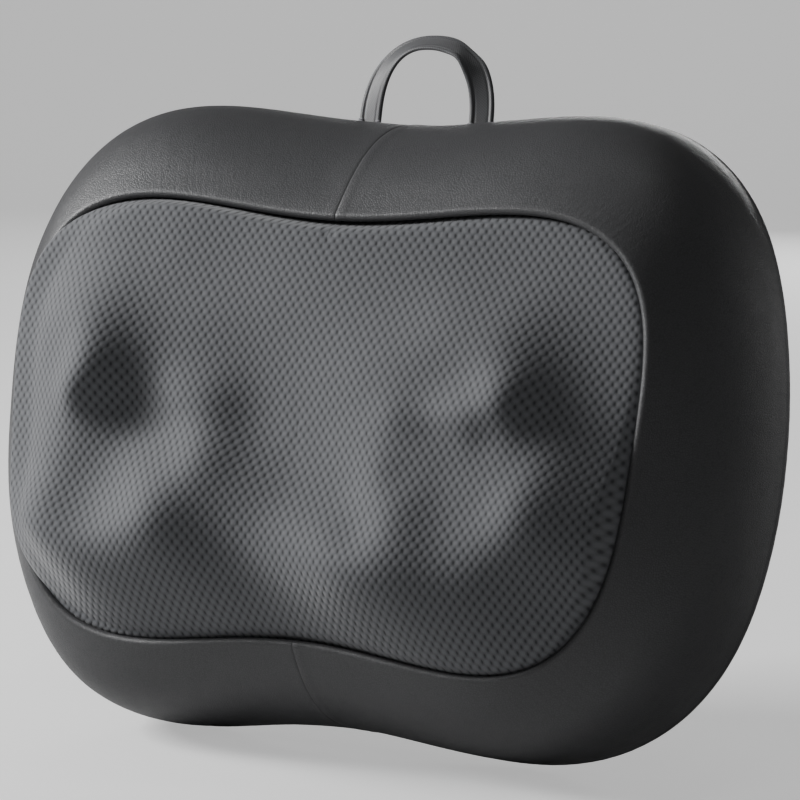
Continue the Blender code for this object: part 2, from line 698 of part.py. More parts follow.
def build_spindle(word, centre):
    """Fixed hollow spindle with a rear flange and a groove near its front."""
    turned("hollow_spindle_" + word, "steel", ALONG_Y, centre,
           [(SPINDLE_BORE, ON_PLATE), (FLANGE_R, ON_PLATE), (FLANGE_R, FLANGE_FRONT),
            (SPINDLE_R, FLANGE_FRONT), (SPINDLE_R, GROOVE_BACK), (GROOVE_R, GROOVE_BACK),
            (GROOVE_R, GROOVE_FRONT), (SPINDLE_R, GROOVE_FRONT),
            (SPINDLE_R, SPINDLE_FRONT), (SPINDLE_BORE, SPINDLE_FRONT)], 16)


def build_bush(word, centre, parent):
    inner, rear = SPINDLE_R + GAP, HUB_REAR - GAP
    turned("spindle_bush_" + word, "bronze", ALONG_Y, centre,
           [(inner, rear), (BUSH_R, rear), (BUSH_R, BUSH_FRONT), (inner, BUSH_FRONT)],
           16, parent)


def build_disc(word, centre, parent):
    turned("head_disc_" + word, "black_plastic", ALONG_Y, centre,
           [(DISC_BORE, DISC_BACK), (DISC_R, DISC_BACK), (DISC_R, DISC_BACK - 3),
            (DISC_R - 2.5, DISC_FRONT), (DISC_BORE, DISC_FRONT)], 28, parent)


def build_retaining_ring(word, centre):
    """Split ring in the spindle's groove."""
    back, front = GROOVE_BACK - GAP, GROOVE_FRONT + GAP
    corners = ((RING_INNER, back), (RING_OUTER, back),
               (RING_OUTER, front), (RING_INNER, front))
    bm = bmesh.new()
    rings = []
    for k in range(RING_STEPS + 1):
        angle = RING_START + RING_SPAN * k / RING_STEPS
        rings.append([bm.verts.new((centre[0] + radius * cos(angle), y,
                                    centre[2] + radius * sin(angle)))
                      for radius, y in corners])
    skin_rings(bm, rings, caps=True)
    make_object("retaining_ring_" + word, bm, "steel")


def build_nodes(side, word, parent):
    """Four round-nosed nodes on the front of the disc."""
    base = DISC_FRONT - GAP
    for i, (degrees, tip) in enumerate(NODES):
        angle = radians(degrees)
        x = side * (HEAD_X + NODE_CIRCLE * cos(angle))
        z = HEAD_Z + NODE_CIRCLE * sin(angle)
        crown = tip + NODE_R
        nose = [(NODE_R * cos(lift), crown - NODE_R * sin(lift))
                for lift in (radians(28), radians(56))]
        profile = [(0, base), (12.5, base), (12.0, base - 4), (NODE_R, crown),
                   *nose, (0, tip)]
        turned("massage_node_%s_%d" % (word, i + 1), "node_plastic", ALONG_Y,
               (x, 0, z), profile, 12, parent, smooth=60)


def build_head(side, word, parent):
    centre = (side * HEAD_X, 0, HEAD_Z)
    build_spindle(word, centre)
    build_wheel(side, word, parent)
    build_bush(word, centre, parent)
    build_disc(word, centre, parent)
    build_retaining_ring(word, centre)
    build_nodes(side, word, parent)
    # heat lamp board and its lens on the end of the fixed spindle
    turned("led_board_" + word, "board", ALONG_Y, centre, LAMP_PROFILE, 12)
    turned("heat_lens_" + word, "red_lens", ALONG_Y, centre, LENS_PROFILE, 14)


# ----------------------------------------------------------------------- motor
CAN_WALL, CAN_MOUTH = 1.0, MOTOR_HALF - 1.5
BELL_LEFT = MOTOR_HALF - 1.2
# (radius, x) pairs
CAN_PROFILE = [(3, -MOTOR_HALF), (MOTOR_R, -MOTOR_HALF), (MOTOR_R, CAN_MOUTH),
               (MOTOR_R - CAN_WALL, CAN_MOUTH),
               (MOTOR_R - CAN_WALL, CAN_WALL - MOTOR_HALF), (3, CAN_WALL - MOTOR_HALF)]
BELL_PROFILE = [(2.2, BELL_LEFT), (MOTOR_R, BELL_LEFT), (MOTOR_R, MOTOR_HALF + 0.4),
                (5, MOTOR_HALF + 0.4), (5, MOTOR_HALF + 2.5), (2.2, MOTOR_HALF + 2.5)]
MAGNET_PROFILE = [(11, -18), (12.6, -18), (12.6, 18), (11, 18)]
ARMATURE_PROFILE = [(SHAFT_BORE, -16), (10, -16), (10, 14), (4.5, 14), (4.5, 23),
                    (SHAFT_BORE, 23)]
SHAFT_PROFILE = [(0, -SHAFT_HALF), (SHAFT_R, -SHAFT_HALF), (SHAFT_R, SHAFT_HALF),
                 (0, SHAFT_HALF)]


def build_motor(rotor):
    for name, key, profile, seg, parent in (
            ("motor_can", "steel", CAN_PROFILE, 16, None),
            ("motor_end_bell", "black_plastic", BELL_PROFILE, 16, None),
            ("motor_magnet_ring", "black_plastic", MAGNET_PROFILE, 16, None),
            ("armature", "bronze", ARMATURE_PROFILE, 14, rotor),
            ("motor_shaft", "steel", SHAFT_PROFILE, 8, rotor)):
        turned(name, key, ALONG_X, (0, WHEEL_MID, SHAFT_Z), profile, seg, parent)


# ------------------------------------------------------------------ electrics
def wall_place(y, z):
    """Point on the surround's -X side and its outward direction in plan."""
    u = 1 + y / DEPTH

    def half_width(station):
        xz = outline(count=FINE_AROUND, **section(station))
        right = xz[:FINE_AROUND // 2 + 1]
        return float(np.interp(-z, -right[:, 1], right[:, 0]))

    slope = (half_width(u + 0.01) - half_width(u - 0.01)) / (0.02 * DEPTH)
    normal = Vector((-1.0, -slope, 0.0)).normalized()
    return Vector((-half_width(u), y, z)), normal


BUTTON_AT, BUTTON_OUT = wall_place(BUTTON_Y, BUTTON_Z)
JACK_AT = wall_place(BUTTON_Y, JACK_Z)[0] + BUTTON_OUT * 0.6
BEZEL_R, JACK_R = 10, 6
# (radius, distance outwards from the surround) pairs
BEZEL_PROFILE = [(0, -7.5), (7.0, -7.5), (7.0, 1.6), (9.3, 1.6), (BEZEL_R, 0.9),
                 (BEZEL_R, -9), (0, -9)]
SWITCH_PROFILE = [(0, -7.2), (3.5, -7.2), (3.5, -4.2), (1.6, -4.2), (1.6, -3.3),
                  (0, -3.3)]
BUTTON_PROFILE = [(0, -1.8), (6.5, -1.8), (6.5, 2.4), (5.4, 3.0), (2.5, 2.7), (0, 2.6)]
JACK_PROFILE = [(0, -14), (JACK_R, -14), (JACK_R, 0.3), (5.4, 0.9), (2.9, 0.9),
                (2.9, -10), (1.0, -10), (1.0, -1.5), (0, -1.0)]
POCKET = (-34, 8)            # span of the cuts for the bezel and jack

BOARD_HALF, BOARD_BOTTOM, BOARD_TOP = 32.0, 28.0, 62.0
PARTS_BACK = -10.0           # board parts start inside the board
# x low, x high, front y, z low, z high
BOARD_BLOCKS = (
    (-20, -4, -14.5, 40, 50),
    (6, 20, -18.5, 33, 40),
    (-26, -12, -17.0, 53.5, 59),
)
# Points (x, y, z) from the part to the board; the first is the part's tail.
BUTTON_LEAD = [
    tuple(BUTTON_AT - BUTTON_OUT * 9.6),
    (-140, BUTTON_Y, BUTTON_Z), (-126, BUTTON_Y, BUTTON_Z), (-118, -14.5, 10),
    (-100, -13, 24), (-70, -11, 36), (-46, -9.9, 44), (-32.6, -9.8, 45)]
JACK_LEAD = [
    tuple(JACK_AT - BUTTON_OUT * 14.6),
    (-136, BUTTON_Y, JACK_Z), (-126, BUTTON_Y, JACK_Z), (-118, -13, -18),
    (-112, -9, 2), (-100, -8, 17), (-74, -8.0, 26), (-46, -9.2, 34), (-32.6, -9.8, 36)]
MOTOR_LEAD = [
    (29.2, -21, -35), (36, -19, -28), (32, -16.5, -8), (18, -16, 8),
    (10, -15.5, 17), (10, -11, 24), (10, -9.9, 27.3)]


def build_button_and_jack(button_parent):
    for name, key, at, profile, seg, parent in (
            ("button_bezel", "black_plastic", BUTTON_AT, BEZEL_PROFILE, 20, None),
            ("tact_switch", "black_plastic", BUTTON_AT, SWITCH_PROFILE, 8, None),
            ("power_button", "button_plastic", BUTTON_AT, BUTTON_PROFILE, 18,
             button_parent),
            ("dc_jack", "black_plastic", JACK_AT, JACK_PROFILE, 14, None)):
        turned(name, key, BUTTON_OUT, at, profile, seg, parent)


def cut_pockets(ob, clearance):
    """Holes for the button's bezel and the jack."""
    bm = bmesh.new()
    add_cylinder(bm, BUTTON_OUT, BUTTON_AT, *POCKET, BEZEL_R + clearance, 20)
    add_cylinder(bm, BUTTON_OUT, JACK_AT, *POCKET, JACK_R + clearance, 14)
    boolean(ob, "cut_" + ob.name, bm, 'DIFFERENCE')


def build_board():
    bm = bmesh.new()
    add_box(bm, (-BOARD_HALF, BOARD_FRONT, BOARD_BOTTOM),
            (BOARD_HALF, BOARD_BACK, BOARD_TOP))
    board = make_object("control_board", bm, "board")
    parts = bmesh.new()
    for low_x, high_x, front, low_z, high_z in BOARD_BLOCKS:
        add_box(parts, (low_x, front, low_z), (high_x, PARTS_BACK, high_z))
    add_pegs(parts, [(20, 51)], -22, PARTS_BACK, radius=4.0, seg=10)
    boolean(board, "cut_board_parts", parts, 'UNION')


def build_leads():
    tube("button_lead", "wire", BUTTON_LEAD, radius=1.0)
    tube("jack_lead", "wire", JACK_LEAD, radius=1.2)
    tube("motor_lead", "wire", MOTOR_LEAD, radius=1.0)


# ----------------------------------------------------------------------- build
def build_cushion():
    for old in list(bpy.data.objects):
        bpy.data.objects.remove(old, do_unlink=True)

    head_axes = {word: pivot("axis_%s_head" % word, (side * HEAD_X, WHEEL_MID, HEAD_Z))
                 for side, word in SIDES}
    rotor_axis = pivot("axis_rotor", (0, WHEEL_MID, SHAFT_Z))
    button_axis = pivot("axis_button", BUTTON_AT)
    handle_at = strap_place()
    handle_axis = pivot("axis_handle", handle_at)

    build_panel()
    gussets = {word: build_gusset(side, word) for side, word in SIDES}
    build_rear_cover()
    build_piping()
    foam = build_foam()
    build_handle(handle_axis, handle_at)
    build_rear_shell()
    build_front_shell()
    build_screws("shell_screw", SHELL_SCREWS, head_y=SCREW_SEAT + GAP, length=-32.0,
                 head_r=3.2, shank_r=1.2)
    build_screws("chassis_screw", CHASSIS_SCREWS, head_y=ON_PLATE, length=7.0,
                 head_r=3.0, shank_r=1.1)
    build_plate()
    build_motor_bracket()
    for side, word in SIDES:
        build_shaft_bearing(side, word)
    for side, word in SIDES:
        build_head(side, word, head_axes[word])
    build_motor(rotor_axis)
    for side, word in SIDES:
        build_worm(side, word, rotor_axis)
    build_button_and_jack(button_axis)
    cut_pockets(gussets["left"], clearance=0.4)
    cut_pockets(foam, clearance=0.7)
    build_board()
    build_leads()


build_cushion()
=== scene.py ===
"""Massage cushion: a padded leather surround with a knit panel stretched over two
kneading heads, a flat woven back and a carry strap on top.

The front faces -Y and the back lies at y = 0. +X is right as seen from the front and +Z
is up. The power button and the power socket sit on the left side (-X). Meshes are laid
out in mm; places taken from the CAD pieces, and the studio, are in metres.
"""

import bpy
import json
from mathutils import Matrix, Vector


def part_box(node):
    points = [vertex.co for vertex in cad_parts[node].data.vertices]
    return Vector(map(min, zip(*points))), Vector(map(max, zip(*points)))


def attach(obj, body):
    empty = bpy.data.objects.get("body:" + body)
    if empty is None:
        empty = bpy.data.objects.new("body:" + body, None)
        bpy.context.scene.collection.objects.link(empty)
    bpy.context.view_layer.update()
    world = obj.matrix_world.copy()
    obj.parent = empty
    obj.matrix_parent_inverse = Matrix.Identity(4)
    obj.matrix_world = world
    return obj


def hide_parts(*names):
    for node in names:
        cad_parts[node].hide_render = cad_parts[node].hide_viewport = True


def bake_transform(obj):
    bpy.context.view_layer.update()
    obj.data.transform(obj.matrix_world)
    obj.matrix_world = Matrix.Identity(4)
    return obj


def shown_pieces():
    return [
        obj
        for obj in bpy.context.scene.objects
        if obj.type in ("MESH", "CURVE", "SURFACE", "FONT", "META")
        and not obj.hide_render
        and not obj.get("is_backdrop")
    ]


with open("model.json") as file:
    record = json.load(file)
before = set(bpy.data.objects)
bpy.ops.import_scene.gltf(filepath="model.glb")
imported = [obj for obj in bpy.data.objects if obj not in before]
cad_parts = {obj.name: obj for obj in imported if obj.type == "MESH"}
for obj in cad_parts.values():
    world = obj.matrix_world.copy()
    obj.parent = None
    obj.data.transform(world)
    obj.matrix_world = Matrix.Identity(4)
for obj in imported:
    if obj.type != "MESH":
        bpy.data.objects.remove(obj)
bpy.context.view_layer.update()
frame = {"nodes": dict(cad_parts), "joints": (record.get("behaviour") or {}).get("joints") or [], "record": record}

import json
from itertools import product
from math import sin, cos, pi, radians

import bmesh
import bpy
import numpy as np
from mathutils import Matrix, Vector

MM = 0.001
COLLECTION = bpy.context.scene.collection

# ------------------------------------------------------------ driving dimensions, mm
PANEL_Z = -6.5                       # height of the panel's middle
# Outlines: half width, half height, exponent of the superellipse, depth of the waist
# (fraction of height), width of the waist (fraction of half width), lift, taper
BACK = (160.0, 181.0, 2.20, 0.353, 0.85, 0.0, 0.028)
PANEL = (128.4, 101.7, 3.39, 0.219, 0.76, PANEL_Z, 0.052)
FOAM_OPENING = (130.8, 104.8, 3.0, 0.18, 0.69, -4.0, 0.03)
DEPTH = 74.0                         # from the panel's outline to the back
SHOULDER = 2.38                      # how fast the section swells behind the panel
EDGE_Y = -72.3                       # where the knit meets the lip of the leather
HALF_RUN = 430.0                     # nominal length of half an outline
HEAD_X, HEAD_Z = 68.0, -18.0         # axes of the heads, mirrored in X
NODE_CIRCLE, NODE_RADIUS = 31.0, 15.0

# Unevenness of the padding: direction in degrees from +X towards +Z, fullness in mm
FULLNESS = np.array([
    (4, -.4), (12, -1.1), (19, -.8), (27, .6), (34, 2.1), (42, 2.6), (49, 2.2), (55, 1.9),
    (62, 1.0), (71, .8), (90, .3), (110, -.5), (118, -.2), (126, 1.0), (133, .8), (141, -.7),
    (148, -1.5), (156, -1.5), (164, -.7), (173, 0), (181, 0), (191, -.2), (199, -1.1),
    (208, -2.6), (216, -2.3), (223, 0), (231, 1.7), (238, 2.2), (244, 1.2), (251, -.6),
    (261, -.3), (274, .4), (283, 1.0), (292, 1.0), (300, .6), (305, .1), (312, 0),
    (320, 1.3), (327, 2.2), (334, 2.4), (342, 1.4), (349, .7), (357, .2)], float)


def centre_of(node):
    low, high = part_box(node)
    return (Vector(low) + Vector(high)) / 2


# Both fittings face along the button's axis; centres of their boxes, in metres
OUT = -Vector(next(j for j in frame["joints"] if j["name"] == "power_button_press")["axis"])
OUT.normalize()
BUTTON_AT, SOCKET_AT = centre_of("button_bezel"), centre_of("dc_jack")
# Origins of the turned profiles: the box runs from -depth to +face along the axis
BUTTON_ZERO = BUTTON_AT + OUT * ((9.0 - 1.6) / 2) * MM
SOCKET_ZERO = SOCKET_AT + OUT * ((14.0 - 0.9) / 2) * MM


# ---------------------------------------------------------------------------- curves
def smooth(start, end, x):
    """Smooth step from 0 at start to 1 at end."""
    t = np.clip((x - start) / (end - start), 0, 1)
    return t * t * (3 - 2 * t)


def bell(x, centre, width):
    return np.exp(-((x - centre) / width) ** 2)


def rise(x, run):
    """Climbs from 0 at x = 0 and levels off at 1."""
    return 1 - np.exp(-x / run)


def arc_length(points):
    """Length walked along axis 0, from 0 at the first point."""
    steps = np.linalg.norm(np.diff(points, axis=0), axis=-1)
    return np.concatenate([np.zeros_like(steps[:1]), np.cumsum(steps, axis=0)])


# ---------------------------------------------------------------------- mesh helpers
def mesh_object(name, verts, faces, uv=None, sharp_angle=None):
    """Smooth-shaded object; verts in mm, faces as an array or a list of index rows."""
    mesh = bpy.data.meshes.new(name)
    if isinstance(faces, np.ndarray):
        faces = faces.tolist()
    mesh.from_pydata((np.asarray(verts, float) * MM).tolist(), [], faces)
    mesh.update()
    mesh.shade_smooth()
    if uv is not None:
        layer = mesh.uv_layers.new(name="UVMap")
        loops = np.zeros(len(mesh.loops), np.int32)
        mesh.loops.foreach_get("vertex_index", loops)
        layer.data.foreach_set("uv", uv[loops].ravel())
    if sharp_angle is not None:
        mesh.set_sharp_from_angle(angle=radians(sharp_angle))
    ob = bpy.data.objects.new(name, mesh)
    COLLECTION.objects.link(ob)
    return ob


def grid_faces(rows, cols, wrap=False, loop=False, flip=False):
    """Quads over a grid of vertices; wrap closes each row, loop joins last row to first."""
    i, j = np.meshgrid(np.arange(rows if loop else rows - 1),
                       np.arange(cols if wrap else cols - 1), indexing="ij")
    next_i, next_j = (i + 1) % rows, (j + 1) % cols
    corners = [i * cols + j, i * cols + next_j, next_i * cols + next_j, next_i * cols + j]
    faces = np.stack(corners, -1).reshape(-1, 4)
    return faces[:, ::-1] if flip else faces


def capped_tube(rings, sides, start=0):
    """Faces of a tube closed at both ends, from vertex number start."""
    faces = (grid_faces(rings, sides, wrap=True) + start).tolist()
    last = start + (rings - 1) * sides
    faces.append(list(range(start + sides - 1, start - 1, -1)))
    faces.append(list(range(last, last + sides)))
    return faces


def face_outward(ob):
    bm = bmesh.new()
    bm.from_mesh(ob.data)
    bmesh.ops.recalc_face_normals(bm, faces=bm.faces[:])
    bm.to_mesh(ob.data)
    bm.free()


def solidify(ob, thickness):
    """Thickens a sheet inwards."""
    modifier = ob.modifiers.new("thickness", "SOLIDIFY")
    modifier.thickness = thickness * MM
    modifier.offset = -1
    modifier.use_even_offset = False
    modifier.use_quality_normals = True


# -------------------------------------------------------------------------- outlines
OUTLINE_ANGLES = pi / 2 - 2 * pi * np.arange(5761) / 5760


def outline(values, fractions):
    """x and z at fractions of the outline's length, from the top centre clockwise as
    seen from the front."""
    half_width, half_height, power, waist, waist_width, lift, taper = values
    c, s = np.cos(OUTLINE_ANGLES), np.sin(OUTLINE_ANGLES)
    x = half_width * np.sign(c) * np.abs(c) ** (2 / power)
    z = half_height * np.sign(s) * np.abs(s) ** (2 / power)
    z = z * (1 - waist * bell(x, 0, waist_width * half_width))
    x = x * (1 + taper * z / half_height)
    z = z + lift
    length = arc_length(np.stack([x, z], 1))
    at = np.asarray(fractions) * length[-1]
    return np.interp(at, length, x), np.interp(at, length, z)


def surround_point(u, fractions):
    """Points of the surround's section at u, 0 at the panel and 1 at the back."""
    swell = 1 - (1 - u) ** SHOULDER
    x, z = outline([p + (b - p) * swell for p, b in zip(PANEL, BACK)], fractions)
    return np.stack([x, np.full_like(x, -DEPTH * (1 - u)), z], 1)


def add_fullness(points, weight=1.0, side=1):
    """Pushes points out by FULLNESS; side -1 takes left half points still drawn at +X."""
    points = points * (side, 1, 1)
    angle = np.degrees(np.arctan2(points[:, 2], points[:, 0])) % 360
    push = weight * np.mean([np.interp((angle + shift) % 360, *FULLNESS.T, period=360)
                             for shift in (-4, 0, 4)], axis=0)
    angle = np.radians(angle)
    points = points + np.stack([push * np.cos(angle), 0 * push, push * np.sin(angle)], 1)
    return points * (side, 1, 1)


def grid_frames(grid):
    """Unit tangent along axis 0 (towards the back) and outward normal of a grid."""
    down = np.gradient(grid, axis=0)
    normal = np.cross(np.gradient(grid, axis=1), down)
    normal /= np.linalg.norm(normal, axis=2)[..., None] + 1e-12
    outward = grid * (1, 0, 1) + (0, 0, 3)
    tangent = down / (np.linalg.norm(down, axis=2)[..., None] + 1e-12)
    return tangent, normal * np.sign((normal * outward).sum(2).mean())


def surface_top(x, y):
    """Height of the surround's top surface above (x, y)."""
    points = surround_point(1 + y / DEPTH, np.linspace(0, 0.12, 200))
    return float(np.interp(abs(x), points[:, 0], points[:, 2]))


# -------------------------------------------------------------------- leather halves
U_LIP, U_BACK = 0.014, 0.951         # first and last section of the leather
LIP_RADIUS, EDGE_RADIUS, SEAM_RADIUS = 0.55, 1.5, 1.0
LIP_ANGLES = (165, 150, 132, 114, 98, 84, 70, 56, 42, 28, 14)
EDGE_ANGLES = (18, 36, 54, 72, 90, 110, 130)
SEAM_COLUMNS = np.array([0.0, 0.2, 0.45, 0.75, 1.1, 1.5, 2.1, 2.9])    # mm from a seam
LEATHER_THICKNESS = 1.3


def half_fractions():
    """Fractions 0..0.5 of the outline, with extra columns by the seam at each end."""
    length = 2 * HALF_RUN
    near = SEAM_COLUMNS / length
    first = near[-1] + 1.0 / length
    return np.concatenate([near, np.linspace(first, 0.5 - first, 560), 0.5 - near[::-1]])


def gathers(along, from_lip, to_back, side):
    """Fine puckers beside both sewn edges, deepest towards the corners of the outline."""
    upper = bell(along, centre=130, width=75) * (1.0 if side > 0 else 0.6)
    lower = bell(along, centre=330, width=60)
    depth = 0.22 + upper + 0.8 * lower
    lip_phase = 2 * pi * along / 3.3 + 1.9 * np.sin(along / 9.0 + side) \
        + 1.3 * np.sin(along / 4.1)
    back_phase = 2 * pi * along / 4.3 + 2.2 * np.sin(along / 12.0) + side
    lip_depth = 0.045 * depth * (0.6 + 0.4 * np.sin(along / 17.0 + 2 * side))
    lip_fade = np.exp(-from_lip / 15.0) * rise(from_lip, 1.2)
    back_fade = np.exp(-to_back / 11.0) * rise(to_back, 1.5)
    return lip_depth * np.sin(lip_phase) * lip_fade \
        + 0.04 * depth * np.sin(back_phase) * back_fade


def slow_waves(along, from_lip, to_back, side):
    """Broad waves of the padding, gone at the edges and the seams."""
    waves = 0.35 * np.sin(along / 31.0 + 0.8 * side) * np.sin(from_lip / 19.0) \
        + 0.25 * np.sin(along / 57.0 + from_lip / 23.0 + 1.7 * side)
    to_seam = np.minimum(along, HALF_RUN - along)
    return waves * smooth(2, 16, from_lip) * smooth(2, 16, to_back) * smooth(0, 14, to_seam)


def seam_profile(along, side):
    """Rounded drop into the middle seams, with a swelling beside it."""
    to_seam = np.minimum(along, HALF_RUN - along)
    reach = SEAM_RADIUS - np.clip(to_seam, 0, SEAM_RADIUS)
    drop = 0.95 * (SEAM_RADIUS - np.sqrt(SEAM_RADIUS ** 2 - reach ** 2))
    return (0.16 if side > 0 else 0.05) * bell(to_seam, centre=2.6, width=1.8) - drop


def rolled_edge(point, normal, tangent, radius, angles):
    """Rows of an edge that rolls under, from the normal towards the tangent."""
    centre = point - normal * radius
    return [centre + radius * (normal * cos(radians(a)) + tangent * sin(radians(a)))
            for a in angles]


def build_surround(name, side):
    """Half of the leather, from the lip at the mesh to the turned edge at the back."""
    fractions = half_fractions()
    along = fractions * 2 * HALF_RUN
    step = np.linspace(0, 1, 46)
    eased = 0.35 * step + 0.65 * (0.5 - 0.5 * np.cos(pi * step))
    grid = np.stack([add_fullness(surround_point(u, fractions),
                                  float(smooth(0.03, 0.26, u)), side)
                     for u in U_LIP + (U_BACK - U_LIP) * eased])
    tangent, normal = grid_frames(grid)
    from_lip = arc_length(grid)
    to_back = from_lip[-1] - from_lip
    waves = slow_waves(along, from_lip, to_back, side)
    if side < 0:                     # calm leather round the two fittings
        for centre in (BUTTON_AT, SOCKET_AT):
            away = np.linalg.norm(grid * (-1, 1, 1) - np.array(centre) / MM, axis=2)
            waves = waves * smooth(12, 30, away)
    rim = 0.30 * bell(to_back, centre=1.3, width=0.9)
    relief = gathers(along, from_lip, to_back, side) + waves + rim + seam_profile(along, side)
    body = grid + normal * relief[..., None]
    verts = np.stack([
        *rolled_edge(body[0], normal[0], -tangent[0], LIP_RADIUS, LIP_ANGLES),
        *body,
        *rolled_edge(body[-1], normal[-1], tangent[-1], EDGE_RADIUS, EDGE_ANGLES)])
    verts[..., 0] = np.maximum(verts[..., 0], 0.04) * side
    rows, cols, _ = verts.shape
    return mesh_object(name, verts.reshape(-1, 3), grid_faces(rows, cols, flip=side > 0))


def open_holes(ob, holes):
    """Removes the faces under each fitting, given as (centre in metres, radius in mm)."""
    bm = bmesh.new()
    bm.from_mesh(ob.data)

    def covered(face):
        for centre, radius in holes:
            offset = face.calc_center_median() - centre
            depth = offset.dot(OUT)
            if (offset - OUT * depth).length < radius * MM and abs(depth) < 0.02:
                return True
        return False

    bmesh.ops.delete(bm, geom=[f for f in bm.faces if covered(f)], context="FACES")
    bm.to_mesh(ob.data)
    bm.free()


# ---------------------------------------------------------------------- draped panel
# Swellings of the stretched knit over the nodes and the padding between them:
# x, z, spread, height in mm
SWELLS = np.array([
    (84.5, 25.7, 14.4, 11), (100.5, -3.5, 10.9, 2.4), (91, -29.9, 17.6, 18.9),
    (75.7, -59.4, 13.6, 7), (53.6, -62.5, 13.5, 9.4), (41.4, -0.5, 6.3, 1.5),
    (45.3, -23.6, 9.7, 8.5), (31.6, -56.4, 14.4, 14.6), (-93.6, 20.8, 17.6, 15.4),
    (-68.1, -10.9, 9.9, -4.5), (-49.4, 20.2, 15.2, 2.8), (-33.8, -20.3, 10.2, 7.6),
    (-48.2, -40.2, 16.6, 16.2), (-30.2, -61.2, 15.2, 8.0), (-64.6, -58.5, 17.3, 13.6),
    (-106, -31.7, 60.4, -11.8), (-98.5, -19.6, 14.9, 10.1), (66.3, -6, 6.5, -5.7),
    (47.1, -23, 7.1, -3.9), (90.4, 29.1, 11.1, -3.3), (-78.8, 29.3, 45.7, 16.7),
    (49, 4.7, 27.1, 12.4), (-71.2, -17.1, 15.8, 11.1), (4.5, 20.3, 38.8, 12.4),
    (-102, 17.3, 8.5, -3.6), (-92.8, -0.6, 6.2, 3.7), (-63.4, -41.5, 8.2, -2.1),
    (-38.4, -0.6, 9.8, 5), (-18.6, -31.6, 12.3, 6.9), (67.5, -3.6, 9.1, 9.5),
    (84.6, 3.4, 9.3, 4.7), (76, -9.8, 6.5, -2.4), (90.1, -15.4, 7.4, -2.1),
    (84.1, -30.8, 8.7, -3.8), (30.1, -14.5, 10.5, 2.3), (35, -44.6, 6.9, -1.7),
    (57.9, -4.1, 5.1, -1.4), (52.2, -40, 12.5, 8.4), (-106.6, -49.6, 13.4, 15.4),
    (-87.3, -59.3, 14.1, 12.7), (130, -42, 17.6, 9.7), (-52.2, 2.8, 7.6, 1.8),
    (-127.9, 46, 28.7, -9.3), (98, 43.8, 51.5, -0.5), (4.4, -48.7, 17.8, 13.8),
    (56.8, 35.1, 11.7, 2.7), (-42, 55.3, 17.6, -1.4), (-85, 9, 9, 5.5), (-50, -42, 11, 2.0),
    (85, 11, 8, 4.2), (-66, -48, 8, 1.2), (79, -3, 6, -1.6),
])
SWELL_GAIN = 1.08
EDGE_RISE = 6.309                    # height gained inside the edge
SOFT_SIDE, SOFT_LOW = 15.962, 15.875     # run of that rise at the sides and the bottom
CROWN = -10.6                        # height at the middle of the broad crown
NODE_TOP, NODE_GAP = 15.5, 0.7       # top of the nodes, room left over them
PANEL_TURNS = 360                    # vertices round a head's axis
CORE_RADIUS = 56.0                   # round rings up to here, then stretched to the edge


def panel_inset(x, z):
    """Distance inside the panel's outline, measured towards its middle."""
    edge_x, edge_z = outline(PANEL, np.arange(2880) / 2880)
    edge_z = edge_z - PANEL_Z
    angle = np.arctan2(edge_z, edge_x)
    order = np.argsort(angle)
    edge = np.interp(np.arctan2(z - PANEL_Z, x), angle[order],
                     np.hypot(edge_x, edge_z)[order], period=2 * pi)
    return edge - np.hypot(x, z - PANEL_Z)


def node_clearance(x, z):
    """Lowest height that stays clear of the nodes as the heads turn."""
    to_axis = np.minimum(np.hypot(x - HEAD_X, z - HEAD_Z), np.hypot(x + HEAD_X, z - HEAD_Z))
    off = to_axis - NODE_CIRCLE
    ball = np.sqrt(np.clip(NODE_RADIUS ** 2 - off ** 2, 0, None))
    over_node = NODE_TOP - (NODE_RADIUS - ball) + NODE_GAP
    elsewhere = np.where(to_axis < 47, 4.0, -50)
    return np.where(np.abs(off) < NODE_RADIUS, over_node, elsewhere)


def panel_height(x, z):
    """Height of the knit in front of its edge."""
    far = np.clip(panel_inset(x, z), 0, None)
    left = smooth(70, 120, -x) * smooth(-76, -40, z)
    low = smooth(-30, 90, -z)
    soft = SOFT_SIDE + (SOFT_LOW - SOFT_SIDE) * np.clip((PANEL_Z - z) / 70, 0, 1) ** 2
    height = EDGE_RISE * (0.35 + 0.65 * smooth(-65, 15, -z)) * rise(far, soft) \
        + (1.9 + 2.4 * left) * rise(far, 1.6) \
        + 8.5 * left * rise(far, 15.0) \
        - 6.8 * left * rise(far, 40.0) \
        + 13.0 * low * rise(far, 21.0) \
        + CROWN * (1 - (x / 130) ** 2) * (1 - ((z - PANEL_Z) / 100) ** 2)
    inner = smooth(0, 1, far / (5 + 9 * left))
    for swell_x, swell_z, spread, amount in SWELLS:
        distance = (x - swell_x) ** 2 + (z - swell_z) ** 2
        height = height + SWELL_GAIN * amount * np.exp(-distance / (2 * spread ** 2)) * inner
    # the greater of height and clearance, with the corner rounded
    clearance = node_clearance(x, z)
    above = height - clearance
    return clearance + 0.5 * (above + np.sqrt(above ** 2 + 0.6))


def panel_reach(turns):
    """Distance from the head's axis to the panel's edge or the middle line."""
    tries = np.linspace(20, 160, 1200)
    reach = np.zeros(len(turns))
    for i, a in enumerate(turns):
        x = HEAD_X + tries * cos(a)
        outside = (panel_inset(x, HEAD_Z + tries * sin(a)) < -0.9) | (x < 0)
        reach[i] = tries[np.argmax(outside)]
        if cos(a) < 0 and HEAD_X + reach[i] * cos(a) < 0.5:
            reach[i] = HEAD_X / -cos(a)
    return reach


